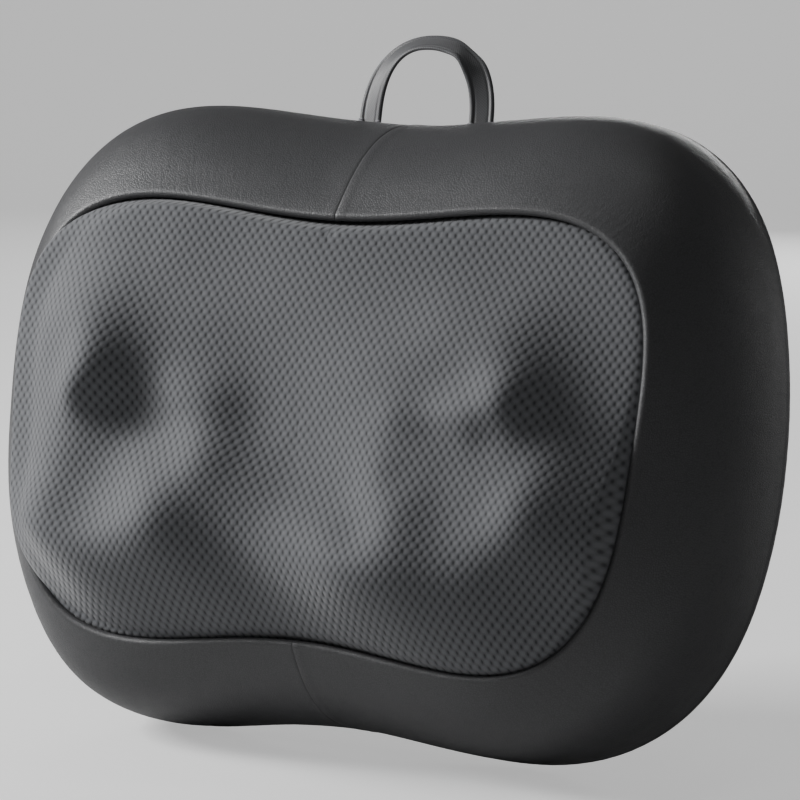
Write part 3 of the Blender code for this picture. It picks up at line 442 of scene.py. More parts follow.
def build_panel(name, side):
    """Half of the knit panel, as rings round its head's axis."""
    turns = 2 * pi * np.arange(PANEL_TURNS) / PANEL_TURNS
    stretch = panel_reach(turns) - CORE_RADIUS
    rings = [np.full(PANEL_TURNS, r) for r in np.linspace(0.6, CORE_RADIUS, 54)]
    rings += [CORE_RADIUS + stretch * t for t in np.linspace(0, 1, 34)[1:]]
    radius = np.concatenate(rings)
    turn = np.tile(turns, len(rings))
    x = np.maximum(np.concatenate([[HEAD_X], HEAD_X + radius * np.cos(turn)]), 0.0)
    z = np.concatenate([[HEAD_Z], HEAD_Z + radius * np.sin(turn)])
    far = np.clip(panel_inset(x, z), -2, 50)
    tuck = 2.4 * np.exp(-np.clip(far + 1.0, 0, None) / 0.8)
    y = EDGE_Y - panel_height(x * side, z) + tuck
    if side < 0:                     # full edge over the lip on this side
        x = x + 5.6 * bell(far, centre=4.2, width=3.8) * smooth(84, 122, x)
    faces = (grid_faces(len(rings), PANEL_TURNS, wrap=True) + 1).tolist()
    faces += [[0, 1 + (i + 1) % PANEL_TURNS, 1 + i] for i in range(PANEL_TURNS)]
    if side < 0:
        faces = [face[::-1] for face in faces]
    return mesh_object(name, np.stack([x * side, y, z], 1), faces)


# ----------------------------------------------------------------------- back pieces
# Rings of the back panel from its tucked rim inwards: inset from the outline, y
BACK_RINGS = [(3.4, -4.0), (2.9, -2.6), (3.0, -1.6), (3.9, -0.7), (5.4, -0.35),
              (6.6, -0.45), (7.3, -0.8), (8.0, -0.45), (9.5, -0.2), (12.5, 0.0)]
GROOVE = (7.3, -0.8)                 # ring that carries the stitches
BACK_THICKNESS = 1.0
PIPING_INSET, PIPING_Y, PIPING_RADIUS = 0.75, -1.75, 1.5
STITCH_LENGTH, STITCH_GAP, STITCH_RADIUS = 3.0, 1.4, 0.30


def back_ring(inset, y, count):
    """Points round the back's outline, moved in by inset."""
    fractions = np.arange(count) / count
    x, z = outline(BACK, fractions)
    x_after, z_after = outline(BACK, (fractions + 1.0 / 900) % 1)
    x_before, z_before = outline(BACK, (fractions - 1.0 / 900) % 1)
    along_x, along_z = x_after - x_before, z_after - z_before
    run = np.hypot(along_x, along_z)
    return add_fullness(np.stack([x + inset * along_z / run, np.full_like(x, y),
                                  z - inset * along_x / run], 1))


def build_back():
    """Back sheet: tucked rim, stitched groove and a faintly uneven field."""
    count = 480
    rings = [back_ring(inset, y, count) for inset, y in BACK_RINGS]
    base = rings[-1]
    for scale in np.linspace(0.92, 0.04, 26):
        x, z = base[:, 0] * scale, base[:, 2] * scale
        y = -0.25 * (1 - scale) * np.sin(x / 160 * 9) * np.sin(z / 120 * 7 + 1)
        rings.append(np.stack([x, y, z], 1))
    verts = np.concatenate([*rings, [[0, 0, 0]]])
    last = (len(rings) - 1) * count
    faces = grid_faces(len(rings), count, wrap=True).tolist()
    faces += [[last + i, last + (i + 1) % count, len(verts) - 1] for i in range(count)]
    return mesh_object("back_panel", verts, faces)


def build_piping():
    """Cord round the back's edge, faintly ribbed along its length."""
    count, sides = 720, 14
    path = back_ring(PIPING_INSET, PIPING_Y, count)
    tangent = np.roll(path, -1, 0) - np.roll(path, 1, 0)
    tangent /= np.linalg.norm(tangent, axis=1)[:, None]
    across = np.stack([-tangent[:, 2], np.zeros(count), tangent[:, 0]], 1)
    radius = PIPING_RADIUS + 0.04 * np.sin(np.arange(count) * 2 * pi / 6.0)
    verts = np.stack([path + (across * cos(a) + np.array([0, sin(a), 0])) * radius[:, None]
                      for a in 2 * pi * np.arange(sides) / sides], 1)
    return mesh_object("edge_piping", verts.reshape(-1, 3),
                       grid_faces(count, sides, wrap=True, loop=True, flip=True))


def build_stitching():
    """Short arched lengths of thread laid in the back's groove."""
    path = back_ring(*GROOVE, 900)
    path = np.concatenate([path, path[:1]])
    length = arc_length(path)
    off_back = np.array([0, 1.0, 0])
    sides, steps = 6, np.linspace(0, 1, 5)
    turns = 2 * pi * np.arange(sides) / sides
    verts, faces = [], []
    start = 0.0
    while start + STITCH_LENGTH < length[-1]:
        at = start + STITCH_LENGTH * steps
        centre = np.stack([np.interp(at, length, path[:, c]) for c in range(3)], 1)
        centre[:, 1] += STITCH_RADIUS * (0.9 * np.sin(pi * steps) - 0.25)
        faces += capped_tube(len(steps), sides, len(verts))
        for i, s in enumerate(steps):
            heading = centre[min(i + 1, len(steps) - 1)] - centre[max(i - 1, 0)]
            heading /= np.linalg.norm(heading)
            radius = STITCH_RADIUS * (0.35 + 0.65 * sin(pi * (0.12 + 0.76 * s)))
            ring = np.outer(np.cos(turns), off_back) \
                + np.outer(np.sin(turns), np.cross(heading, off_back))
            verts += list(centre[i] + radius * ring)
        start += STITCH_LENGTH + STITCH_GAP
    return mesh_object("back_stitching", np.array(verts), faces)


# ----------------------------------------------------------------------------- strap
STRAP_AT = (1.8, -9.0, 120.842)      # middle of the loop's feet, on its pivot
STRAP_HALF, STRAP_RISE, STRAP_POWER = 24.0, 30.6, 2.28     # superellipse of the loop
STRAP_FOOT = -8.0                    # how far the feet reach below STRAP_AT
WEB_HALF, WEB_EDGE = 4.9, 0.42       # half width, half thickness at the edges
TACK_LENGTH, TACK_RADIUS, TACK_PITCH = 1.25, 0.42, 0.62    # half length, radius, spacing


def strap_section():
    """Section of the webbing (across, through): a bead and a groove by each edge."""
    across = np.linspace(-1, 1, 25)
    half = 0.60 + 0.34 * bell(np.abs(across), 0.84, 0.12) \
        - 0.20 * bell(np.abs(across), 0.60, 0.07)
    across = across * WEB_HALF * 0.95
    front = list(zip(across, half))
    rear = list(zip(across[::-1], -0.9 * half[::-1]))
    return np.array([(-WEB_HALF, WEB_EDGE), *front, (WEB_HALF, WEB_EDGE),
                     (WEB_HALF, -WEB_EDGE), *rear, (-WEB_HALF, -WEB_EDGE)])


def build_strap():
    """Loop of folded webbing: its feet stand flat in the seam, its top leans back."""
    a = np.linspace(0, pi, 1201)
    x = STRAP_HALF * np.sign(np.cos(a)) * np.abs(np.cos(a)) ** (2 / STRAP_POWER)
    z = STRAP_RISE * np.abs(np.sin(a)) ** (2 / STRAP_POWER)
    x = np.concatenate(([x[0]], x, [x[-1]]))
    z = np.concatenate(([STRAP_FOOT], z, [STRAP_FOOT]))
    length = arc_length(np.stack([x, z], 1))
    at = np.linspace(0, length[-1], 190)
    x, z = np.interp(at, length, x), np.interp(at, length, z)
    for line in (x, z):
        for _ in range(6):
            line[1:-1] = 0.5 * line[1:-1] + 0.25 * (line[2:] + line[:-2])
    along_x, along_z = np.gradient(x), np.gradient(z)
    run = np.hypot(along_x, along_z)
    along_x, along_z = along_x / run, along_z / run
    lean = 8 + 42 * np.clip(z / STRAP_RISE, 0, 1) ** 1.7
    lean = lean + 18 * bell(x, 14.5, 4.5) * smooth(12, 24, z)    # fold on the right shoulder
    lean = np.radians(lean)
    along = np.stack([along_x, 0 * along_x, along_z], 1)
    across = np.stack([along_z * np.cos(lean), np.sin(lean), -along_x * np.cos(lean)], 1)
    through = np.cross(across, along)
    section = strap_section()
    centre = np.stack([x, 0 * x, z], 1) + STRAP_AT
    verts = centre[:, None] + across[:, None] * section[:, :1] \
        + through[:, None] * section[:, 1:]
    uv = np.stack([np.tile(section[:, 0], len(x)), np.repeat(at, len(section))], 1) * MM
    return mesh_object("carry_strap", verts.reshape(-1, 3),
                       capped_tube(len(x), len(section)), uv, sharp_angle=50)


def build_bartacks():
    """Dense stitches that hold both edges of the strap's feet."""
    rings, sides = 5, 8
    verts, faces = [], []
    for foot, edge, row in product((-1, 1), (-1, 1), range(4)):
        x = STRAP_AT[0] + foot * STRAP_HALF + edge * 4.0
        y = STRAP_AT[1] - 1.0 + 0.5 * foot * edge
        z = surface_top(x, y) + 0.3 + TACK_PITCH * row
        faces += capped_tube(rings, sides, len(verts))
        for i, j in product(range(rings), range(sides)):
            a, b = 2 * pi * j / sides, pi * (i + 0.5) / rings
            radius = TACK_RADIUS * sin(b)
            verts.append((x + TACK_LENGTH * cos(b), y + radius * cos(a), z + radius * sin(a)))
    return mesh_object("strap_bartacks", np.array(verts), faces)


# -------------------------------------------------------------------------- controls
# Turned profiles: radius, height along OUT
RING_PROFILE = [(7.05, -7.5), (7.05, 1.05), (7.25, 1.45), (7.7, 1.7), (8.6, 1.75),
                (9.6, 1.6), (10.4, 1.25), (10.9, 0.75), (11.05, 0.2), (10.6, -0.2),
                (10.0, -0.4), (10.0, -9), (3.0, -9.0), (3.0, -7.5)]
CAP_PROFILE = [(0, -1.8), (6.3, -1.8), (6.5, -1.5), (6.5, 2.0), (6.35, 2.5), (5.9, 2.85),
               (5.2, 3.0), (4.4, 2.95), (3.2, 2.72), (1.6, 2.58), (0, 2.55)]
SOCKET_PROFILE = [(0, -14), (6, -14), (6, -0.3), (6.7, -0.1), (6.85, 0.85), (6.45, 1.4),
                  (5.4, 1.6), (3.3, 1.6), (2.9, 1.2), (2.9, -10), (1.0, -10), (1.0, -1.8),
                  (0.7, -1.2), (0, -1.0)]
# Openings for the fittings, radii in mm
LEATHER_HOLES = [(BUTTON_AT, 9.4), (SOCKET_AT, 5.6)]
FOAM_HOLES = [(BUTTON_ZERO, 12.0), (SOCKET_ZERO, 8.0)]


def build_turned(name, origin, profile, segments):
    """Solid turned about OUT; a profile that starts off the axis closes on itself."""
    turn = OUT.to_track_quat("Z", "Y").to_matrix()
    verts, rows = [], []
    for radius, height in profile:
        count = segments if radius > 0 else 1
        rows.append(range(len(verts), len(verts) + count))
        for j in range(count):
            a = 2 * pi * j / count
            spoke = Vector((radius * cos(a), radius * sin(a), height))
            verts.append(tuple(Vector(origin) * 1000 + turn @ spoke))
    pairs = list(zip(rows, rows[1:]))
    if profile[0][0] > 0:
        pairs.append((rows[-1], rows[0]))
    faces = []
    for a, b in pairs:
        for j in range(segments):
            k = (j + 1) % segments
            if len(a) == 1:
                faces.append((a[0], b[j], b[k]))
            elif len(b) == 1:
                faces.append((a[j], b[0], a[k]))
            else:
                faces.append((a[j], b[j], b[k], a[k]))
    ob = mesh_object(name, verts, faces, sharp_angle=40)
    face_outward(ob)
    return ob


def build_foam():
    """Closed ring of padding under the leather, with room for the two fittings."""
    count = 240
    fractions = np.arange(count) / count
    grid = np.stack([surround_point(u, fractions) for u in np.linspace(0.16, 0.935, 14)])
    grid = np.concatenate([grid, grid[:, :1]], 1)
    _, normal = grid_frames(grid)
    outer = (grid - normal * 4.2)[:, :-1]
    x, z = outline(FOAM_OPENING, fractions)
    inner = [np.stack([x, np.full(count, y), z], 1) for y in np.linspace(-4.8, -60.5, 10)]
    rows = np.stack([*outer, *inner])
    ob = mesh_object("foam_pad", rows.reshape(-1, 3),
                     grid_faces(len(rows), count, wrap=True, loop=True))
    face_outward(ob)
    for centre, radius in FOAM_HOLES:
        bpy.ops.mesh.primitive_cylinder_add(vertices=48, radius=radius * MM, depth=0.06,
                                            location=centre - OUT * 0.012)
        cutter = bpy.context.object
        cutter.rotation_mode = "QUATERNION"
        cutter.rotation_quaternion = OUT.to_track_quat("Z", "Y")
        bpy.context.view_layer.update()
        modifier = ob.modifiers.new("hole", "BOOLEAN")
        modifier.object = cutter
        modifier.operation = "DIFFERENCE"
        graph = bpy.context.evaluated_depsgraph_get()
        cut = bpy.data.meshes.new_from_object(ob.evaluated_get(graph))
        ob.modifiers.clear()
        ob.data = cut
        bpy.data.objects.remove(cutter)
    return ob


# ------------------------------------------------------------------------- materials
class Shader:
    """Writes a material's node tree as expressions; scales are per metre."""

    def __init__(self, name):
        self.mat = bpy.data.materials.new(name)
        self.mat.use_nodes = True
        self.tree = self.mat.node_tree
        self.bsdf = self.tree.nodes["Principled BSDF"]

    def new(self, kind, **settings):
        node = self.tree.nodes.new(kind)
        for key, value in settings.items():
            setattr(node, key, value)
        return node

    def link(self, output, socket):
        self.tree.links.new(output, socket)

    def put(self, socket, value):
        """Sets a number or colour, or links an output."""
        if isinstance(value, (int, float)):
            socket.default_value = value
        elif isinstance(value, tuple):
            alpha = (1.0,) if len(value) == 3 and len(socket.default_value) == 4 else ()
            socket.default_value = value + alpha
        else:
            self.link(value, socket)

    def math(self, op, a, b=None):
        node = self.new("ShaderNodeMath", operation=op)
        self.put(node.inputs[0], a)
        if b is not None:
            self.put(node.inputs[1], b)
        return node.outputs[0]

    def add(self, a, b):
        return self.math("ADD", a, b)

    def sub(self, a, b):
        return self.math("SUBTRACT", a, b)

    def mul(self, a, b):
        return self.math("MULTIPLY", a, b)

    def ramp(self, value, stops):
        """Grey ramp through (position, level) stops."""
        node = self.new("ShaderNodeValToRGB")
        self.link(value, node.inputs[0])
        elements = node.color_ramp.elements
        while len(elements) < len(stops):
            elements.new(0.5)
        for element, (position, level) in zip(elements, stops):
            element.position = position
            element.color = (level, level, level, 1)
        return node.outputs[0]

    def coords(self, kind="Object"):
        return self.new("ShaderNodeTexCoord").outputs[kind]

    def axes(self, vector):
        node = self.new("ShaderNodeSeparateXYZ")
        self.link(vector, node.inputs[0])
        return node.outputs

    def stretch(self, vector, scale):
        node = self.new("ShaderNodeMapping")
        node.inputs["Scale"].default_value = scale
        self.link(vector, node.inputs["Vector"])
        return node.outputs[0]

    def noise(self, vector, scale, detail=3):
        node = self.new("ShaderNodeTexNoise")
        self.link(vector, node.inputs["Vector"])
        node.inputs["Scale"].default_value = scale
        node.inputs["Detail"].default_value = detail
        return node.outputs["Fac"]

    def voronoi(self, vector, scale, feature="F1"):
        node = self.new("ShaderNodeTexVoronoi", feature=feature)
        self.link(vector, node.inputs["Vector"])
        node.inputs["Scale"].default_value = scale
        return node.outputs["Distance"]

    def wave(self, vector, scale, distortion=0.0, **settings):
        node = self.new("ShaderNodeTexWave", **settings)
        self.link(vector, node.inputs["Vector"])
        node.inputs["Scale"].default_value = scale
        node.inputs["Distortion"].default_value = distortion
        return node.outputs["Fac"]

    def bump(self, height, strength, distance, normal=None):
        node = self.new("ShaderNodeBump")
        node.inputs["Strength"].default_value = strength
        node.inputs["Distance"].default_value = distance
        self.link(height, node.inputs["Height"])
        if normal is not None:
            self.link(normal, node.inputs["Normal"])
        return node.outputs["Normal"]

    def mix(self, factor, a, b):
        node = self.new("ShaderNodeMix", data_type="RGBA")
        self.put(node.inputs["Factor"], factor)
        self.put(node.inputs["A"], a)
        self.put(node.inputs["B"], b)
        return node.outputs["Result"]

    def finish(self, color, rough, normal=None, **extra):
        """Fills the Principled shader; extra names its sockets with underscores."""
        inputs = self.bsdf.inputs
        self.put(inputs["Base Color"], color)
        self.put(inputs["Roughness"], rough)
        if normal is not None:
            self.link(normal, inputs["Normal"])
        for key, value in extra.items():
            self.put(inputs[key.replace("_", " ")], value)
        return self.mat


def scaled(color, factor):
    return tuple(min(1, c * factor) for c in color)


def knit_material():
    """Open warp knit: staggered upright slots between rounded strands."""
    m = Shader("knit_mesh")
    co = m.coords()
    axes = m.axes(co)
    wobble = m.noise(co, scale=60.0, detail=2)
    pitch_x, pitch_z = 0.0034, 0.0046
    slot_size, knot_size = (0.00047, 0.00086), (0.00092, 0.00104)    # half width, height

    def shaken(axis, amount):
        return m.add(axis, m.mul(m.sub(wobble, 0.5), amount))

    x, z = shaken(axes["X"], 0.0007), shaken(axes["Z"], 0.0005)

    def cell(axis, pitch, shift, half):
        """Offset from the nearest lattice place in half sizes; 100 keeps it positive."""
        at = m.add(m.math("DIVIDE", axis, pitch), 100.0 + shift)
        return m.mul(m.sub(m.math("FRACT", at), 0.5), pitch / half)

    def lattice(shift_x, shift_z, size):
        u = cell(x, pitch_x, shift_x, size[0])
        v = cell(z, pitch_z, shift_z, size[1])
        return m.math("SQRT", m.add(m.mul(u, u), m.mul(v, v)))

    slot = m.math("MINIMUM", lattice(0.0, 0.0, slot_size), lattice(0.5, 0.5, slot_size))
    knot = m.math("MINIMUM", lattice(0.5, 0.0, knot_size), lattice(0.0, 0.5, knot_size))
    ribs = m.wave(co, scale=620.0, distortion=1.5, wave_type="BANDS",
                  bands_direction="DIAGONAL")
    strand = m.ramp(m.math("DIVIDE", slot, 2.4),
                    [(0.0, 0.0), (0.22, 0.18), (0.50, 0.82), (0.85, 1.0)])
    blob = m.ramp(m.math("DIVIDE", knot, 2.0),
                  [(0.0, 1.0), (0.30, 0.78), (0.62, 0.12), (0.85, 0.0)])
    grain = m.noise(co, scale=900.0, detail=2)
    base = m.mix(m.noise(co, scale=18.0), (0.077, 0.080, 0.087), (0.094, 0.097, 0.104))
    base = m.mix(m.mul(grain, 0.30), base, (0.140, 0.144, 0.152))
    # knots mixed towards a lighter grey: painted highlight on the raised knots
    base = m.mix(m.mul(blob, 0.55), base, (0.150, 0.154, 0.164))
    # slots painted near black: painted shade in the knit's open holes
    color = m.mix(strand, (0.024, 0.025, 0.028), base)
    height = m.add(m.add(m.mul(strand, 0.7), m.mul(ribs, 0.08)), m.mul(blob, 0.5))
    return m.finish(color, m.sub(0.86, m.mul(grain, 0.14)),
                    normal=m.bump(height, strength=0.60, distance=0.00036),
                    Sheen_Weight=0.25, Sheen_Roughness=0.45, Specular_IOR_Level=0.35)


def leather_material(name="black_leather", tint=(0.0475, 0.0479, 0.0503), rough=0.46):
    """Grained leather with fine creases across X."""
    m = Shader(name)
    co = m.coords()
    cells = m.voronoi(co, scale=1050.0, feature="DISTANCE_TO_EDGE")
    cells = m.math("MINIMUM", m.mul(cells, 5.0), 1.0)
    fine = m.noise(co, scale=2600.0)
    clouds = m.noise(co, scale=26.0, detail=4)
    patches = m.noise(co, scale=160.0)
    creases = m.noise(m.stretch(co, (1000, 45, 45)), scale=1.0, detail=2)
    color = m.mix(m.mul(clouds, 0.6), tint, scaled(tint, 1.5))
    # darker at the edges of the grain cells: painted shade in the grain's furrows
    color = m.mix(m.mul(m.sub(1.0, cells), 0.35), color, (0.008, 0.008, 0.009))
    normal = m.bump(m.add(cells, m.mul(fine, 0.35)), strength=0.30, distance=0.00022)
    normal = m.bump(patches, strength=0.12, distance=0.0006, normal=normal)
    normal = m.bump(creases, strength=0.16, distance=0.00022, normal=normal)
    return m.finish(color, m.add(rough - 0.07, m.mul(patches, 0.14)), normal=normal,
                    Specular_IOR_Level=0.5, Coat_Weight=0.04, Coat_Roughness=0.35)


def woven_material(name, color, uv=False, rough=0.8, lift=0.7):
    """Plain weave in the object's X and Z, or along a strap's own axes."""
    m = Shader(name)
    axes = m.axes(m.coords("UV" if uv else "Object"))
    pitch = 0.0011

    def threads(axis):
        return m.math("SINE", m.mul(axis, 2 * pi / pitch))

    weave = m.mul(threads(axes["X"]), threads(axes["Y" if uv else "Z"]))
    weave = m.add(m.mul(weave, 0.5), 0.5)
    fuzz = m.noise(m.coords(), scale=700.0)
    clouds = m.noise(m.coords(), scale=22.0)
    # colour follows the weave's height: painted highlight on the crossing threads, painted shade between them
    shade = m.mix(weave, scaled(color, 0.55), scaled(color, 1.35))
    shade = m.mix(m.mul(clouds, 0.35), shade, color)
    height = m.add(weave, m.mul(fuzz, 0.5))
    return m.finish(shade, m.add(rough - 0.08, m.mul(fuzz, 0.16)),
                    normal=m.bump(height, strength=lift, distance=0.00025),
                    Sheen_Weight=0.2)


def plastic_material(name, color, rough=0.45, texture=1400.0):
    m = Shader(name)
    co = m.coords()
    grain = m.noise(co, scale=texture, detail=2)
    clouds = m.noise(co, scale=40.0)
    return m.finish(m.mix(m.mul(clouds, 0.6), color, scaled(color, 1.25)),
                    m.add(rough - 0.06, m.mul(clouds, 0.12)),
                    normal=m.bump(grain, strength=0.35, distance=0.00008))


def metal_material(name, color, rough=0.35, brushed=True):
    m = Shader(name)
    co = m.coords()
    grain_scale = (60, 1400, 1400) if brushed else (600, 600, 600)
    streak = m.noise(m.stretch(co, grain_scale), scale=1.0)
    stain = m.noise(co, scale=90.0, detail=4)
    return m.finish(m.mix(m.mul(stain, 0.7), color, scaled(color, 0.72)),
                    m.add(rough - 0.08, m.mul(streak, 0.2)),
                    normal=m.bump(streak, strength=0.25, distance=0.00005), Metallic=1.0)


def foam_material():
    m = Shader("foam_cells")
    co = m.coords()
    cells = m.voronoi(co, scale=900.0)
    color = m.mix(m.noise(co, scale=30.0), (0.20, 0.20, 0.19), (0.30, 0.30, 0.28))
    # pores mixed towards dark grey: painted shade inside the foam's cells
    pore_shade = m.mul(m.math("LESS_THAN", cells, 0.32), 0.5)
    return m.finish(m.mix(pore_shade, color, (0.08, 0.08, 0.08)), rough=0.95,
                    normal=m.bump(cells, strength=0.6, distance=0.0005))


def thread_material():
    m = Shader("thread")
    twist = m.wave(m.coords(), scale=900.0)
    # bands along the twist: painted highlight on the plies, painted shade between them
    return m.finish(m.mix(twist, (0.12, 0.12, 0.128), (0.30, 0.30, 0.32)), rough=0.38,
                    normal=m.bump(twist, strength=0.5, distance=0.0001))


# Keys match the material slots of the CAD pieces where they share a finish
MATERIALS = {
    "knit": knit_material(),
    "leather": leather_material(),
    "piping": leather_material("piping_leather", (0.050, 0.0505, 0.053), rough=0.38),
    "back": woven_material("back_weave", (0.030, 0.031, 0.034)),
    "strap": woven_material("strap_weave", (0.062, 0.063, 0.067), uv=True, rough=0.46,
                            lift=0.30),
    "foam": foam_material(),
    "thread": thread_material(),
    "black_plastic": plastic_material("black_moulding", (0.018, 0.018, 0.020), rough=0.42),
    "button_plastic": plastic_material("button_moulding", (0.050, 0.050, 0.054), rough=0.30,
                                       texture=2200.0),
    "node_plastic": plastic_material("node_moulding", (0.50, 0.085, 0.06), rough=0.38),
    "white_nylon": plastic_material("nylon", (0.72, 0.71, 0.67), rough=0.45),
    "steel": metal_material("plain_steel", (0.56, 0.57, 0.58)),
    "bronze": metal_material("sintered_bronze", (0.55, 0.37, 0.18), rough=0.42,
                             brushed=False),
    "brass": metal_material("turned_brass", (0.72, 0.55, 0.26), rough=0.30),
    "board": plastic_material("solder_mask", (0.02, 0.16, 0.07), rough=0.35, texture=500.0),
    "red_lens": plastic_material("red_lens", (0.55, 0.02, 0.02), rough=0.15),
    "wire": plastic_material("wire_sleeve", (0.28, 0.02, 0.02), rough=0.5),
}


# -------------------------------------------------------------------------- assembly
def paint(ob, material):
    ob.data.materials.clear()
    ob.data.materials.append(MATERIALS[material])


def install(ob, material, replaced=None, part="root"):
    """Gives a piece its finish, the CAD node it replaces and the part it rides on."""
    paint(ob, material)
    if replaced:
        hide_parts(replaced)
    if part:
        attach(ob, part)


right = build_surround("surround_right", 1)
left = build_surround("surround_left", -1)
open_holes(left, LEATHER_HOLES)
for ob, node in ((right, "gusset_right"), (left, "gusset_left")):
    solidify(ob, LEATHER_THICKNESS)
    install(ob, "leather", node)

for side, name in ((1, "knit_panel_right"), (-1, "knit_panel_left")):
    install(build_panel(name, side), "knit", "front_mesh_panel")

back = build_back()
solidify(back, BACK_THICKNESS)
install(back, "back", "rear_cover")
install(build_piping(), "piping", "piping_cord")
install(build_stitching(), "thread")

strap = build_strap()
install(strap, "strap", "handle_loop", part=None)
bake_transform(strap)
install(build_bartacks(), "thread")

install(build_turned("power_button_ring", BUTTON_ZERO, RING_PROFILE, 96),
        "black_plastic", "button_bezel")
install(build_turned("power_button_cap", BUTTON_ZERO, CAP_PROFILE, 96),
        "button_plastic", "power_button", part="button")
install(build_turned("power_socket", SOCKET_ZERO, SOCKET_PROFILE, 64),
        "black_plastic", "dc_jack")
install(build_foam(), "foam", "foam_surround")

# finishes for the CAD pieces that stay
cad_slots = {s["node"]: s["material_slot"] for s in frame["record"]["subparts"]}
for node, ob in frame["nodes"].items():
    if not ob.hide_render and cad_slots[node] in MATERIALS:
        paint(ob, cad_slots[node])

# ---------------------------------------------------------------------------- camera
AZIMUTH, ELEVATION, ROLL = radians(26.684), radians(-2.231), radians(5.692)
TARGET = Vector((0, -0.045, 0))
CAMERA_DISTANCE = 1.3267
LENS, SENSOR = 156.5970345, 36       # mm
SHIFT_X, SHIFT_Y = 0.0623375, 0.024225

# view axes: towards the camera, then right and up in the rolled picture
TO_CAMERA = Vector((sin(AZIMUTH) * cos(ELEVATION), -cos(AZIMUTH) * cos(ELEVATION),
                    sin(ELEVATION)))
level_right = Vector((cos(AZIMUTH), sin(AZIMUTH), 0))
level_up = TO_CAMERA.cross(level_right)
VIEW_RIGHT = level_right * cos(ROLL) + level_up * sin(ROLL)
VIEW_UP = level_up * cos(ROLL) - level_right * sin(ROLL)


def build_camera():
    data = bpy.data.cameras.new("camera")
    camera = bpy.data.objects.new("camera", data)
    COLLECTION.objects.link(camera)
    turn = Matrix((VIEW_RIGHT, VIEW_UP, TO_CAMERA)).transposed().to_4x4()
    camera.matrix_world = Matrix.Translation(TARGET + TO_CAMERA * CAMERA_DISTANCE) @ turn
    data.sensor_width = SENSOR
    data.lens = LENS
    data.shift_x = SHIFT_X
    data.shift_y = SHIFT_Y
    data.clip_end = 50
    bpy.context.scene.camera = camera


# ----------------------------------------------------------------- floor, in metres
FLOOR_TILT = radians(9)              # from the view's up towards the camera
FLOOR_GAP = 0.0005                   # under the lowest point of the object
FLOOR_NEAR, FLOOR_FAR = -3.0, 2.2    # ends of the flat part
SWEEP_RADIUS = 0.9                   # curve from the flat part into the wall


def lowest_along(ob, up):
    """Lowest vertex of an object, measured along up."""
    verts = np.zeros(len(ob.data.vertices) * 3)
    ob.data.vertices.foreach_get("co", verts)
    matrix = np.array(ob.matrix_world)
    placed = verts.reshape(-1, 3) @ matrix[:3, :3].T + matrix[:3, 3]
    return float((placed @ np.array(up)).min())


def paper_material():
    """Paper lit up for the camera alone and clear from below."""
    m = Shader("studio_paper")
    rays = m.new("ShaderNodeLightPath")
    tone = m.mix(m.noise(m.coords(), scale=3.0, detail=2),
                 (0.57, 0.57, 0.57), (0.60, 0.60, 0.60))
    m.finish(tone, rough=0.9, Emission_Color=(1.0, 1.0, 1.0),
             Emission_Strength=m.mul(rays.outputs["Is Camera Ray"], 0.52))
    sides = m.new("ShaderNodeMixShader")
    m.link(m.new("ShaderNodeNewGeometry").outputs["Backfacing"], sides.inputs[0])
    m.link(m.bsdf.outputs[0], sides.inputs[1])
    m.link(m.new("ShaderNodeBsdfTransparent").outputs[0], sides.inputs[2])
    m.link(sides.outputs[0], m.tree.nodes["Material Output"].inputs["Surface"])
    return m.mat


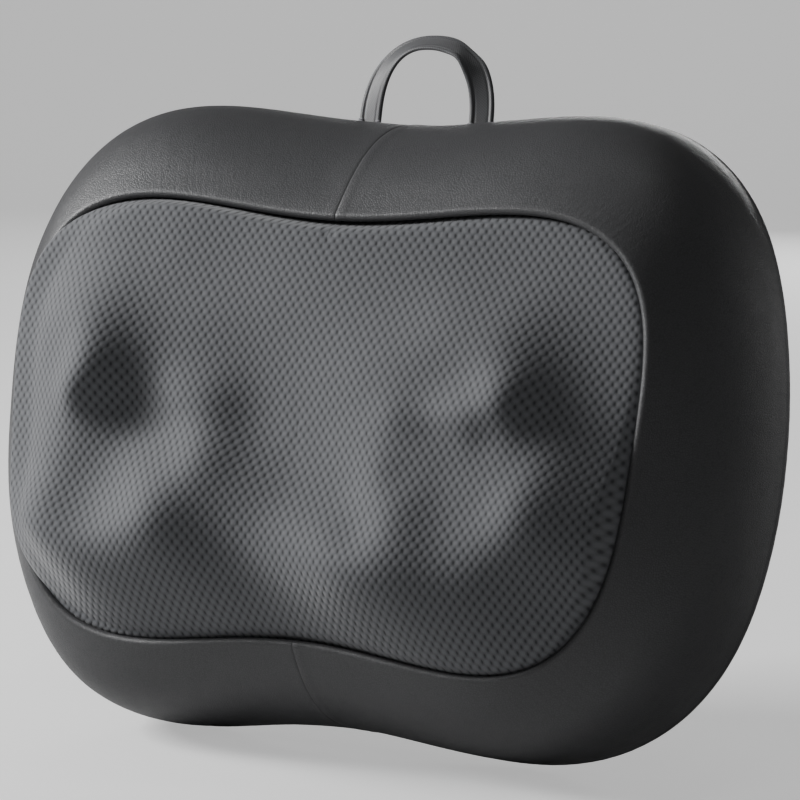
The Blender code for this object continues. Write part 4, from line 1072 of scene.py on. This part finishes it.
def build_floor():
    """Sheet under the object that sweeps up into a wall behind it."""
    up = (VIEW_UP * cos(FLOOR_TILT) + TO_CAMERA * sin(FLOOR_TILT)).normalized()
    away = up.cross(VIEW_RIGHT)
    low = min(lowest_along(ob, up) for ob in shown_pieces() if ob.type == "MESH")
    profile = [(s, 0.0) for s in np.linspace(FLOOR_NEAR, FLOOR_FAR, 12)]
    profile += [(FLOOR_FAR + SWEEP_RADIUS * sin(a), SWEEP_RADIUS * (1 - cos(a)))
                for a in np.linspace(0.1, pi / 2, 14)]
    profile += [(FLOOR_FAR + SWEEP_RADIUS, height) for height in (1.6, 2.6, 4.0)]
    verts = [tuple((away * s + up * (low - FLOOR_GAP + height) + VIEW_RIGHT * x) * 1000)
             for s, height in profile for x in np.linspace(-4, 4, 9)]
    floor = mesh_object("studio_floor", verts, grid_faces(len(profile), 9))
    floor.data.materials.append(paper_material())
    floor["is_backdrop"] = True


# -------------------------------------------------------------------------- lighting
# name, place from TARGET (right, up, towards the camera), size, power in W, second size
# (None leaves Blender's own)
LIGHTS = [
    ("key", (-1.38, 0.76, 0.0), 0.5, 40, 0.5),
    ("key_high", (-1.25, 1.0, 0.1), 0.5, 1.5, None),
    ("top", (0.3, 1.6, 0.3), 0.5, 1.8, None),
    ("front", (0.0, 0.6, 1.7), 0.5, 1.1, None),
    ("rim", (1.3, 0.2, -0.75), 0.5, 0.7, None),
    ("behind", (0.5, 0.6, -1.8), 0.8, 7.0, None),
]
WORLD_LIGHT, WORLD_SEEN = 0.095, 0.9     # strength on the object, strength in view


def build_light(name, place, size, power, second_size):
    """Rectangular area light aimed at TARGET."""
    data = bpy.data.lights.new(name, "AREA")
    data.shape = "RECTANGLE"
    data.size = size
    data.energy = power
    if second_size:
        data.size_y = second_size
    light = bpy.data.objects.new(name, data)
    COLLECTION.objects.link(light)
    across, above, near = place
    light.location = TARGET + VIEW_RIGHT * across + VIEW_UP * above + TO_CAMERA * near
    light.rotation_mode = "QUATERNION"
    light.rotation_quaternion = (light.location - TARGET).to_track_quat("Z", "Y")


def build_world():
    """White surroundings, brighter to the camera than to the object."""
    world = bpy.data.worlds.new("studio")
    bpy.context.scene.world = world
    world.use_nodes = True
    tree = world.node_tree
    background = tree.nodes["Background"]
    rays = tree.nodes.new("ShaderNodeLightPath")
    strength = tree.nodes.new("ShaderNodeMix")
    strength.data_type = "FLOAT"
    strength.inputs[2].default_value = WORLD_LIGHT
    strength.inputs[3].default_value = WORLD_SEEN
    tree.links.new(rays.outputs["Is Camera Ray"], strength.inputs[0])
    tree.links.new(strength.outputs[0], background.inputs["Strength"])
    background.inputs["Color"].default_value = (1, 1, 1, 1)


build_camera()
build_floor()
for light in LIGHTS:
    build_light(*light)
build_world()
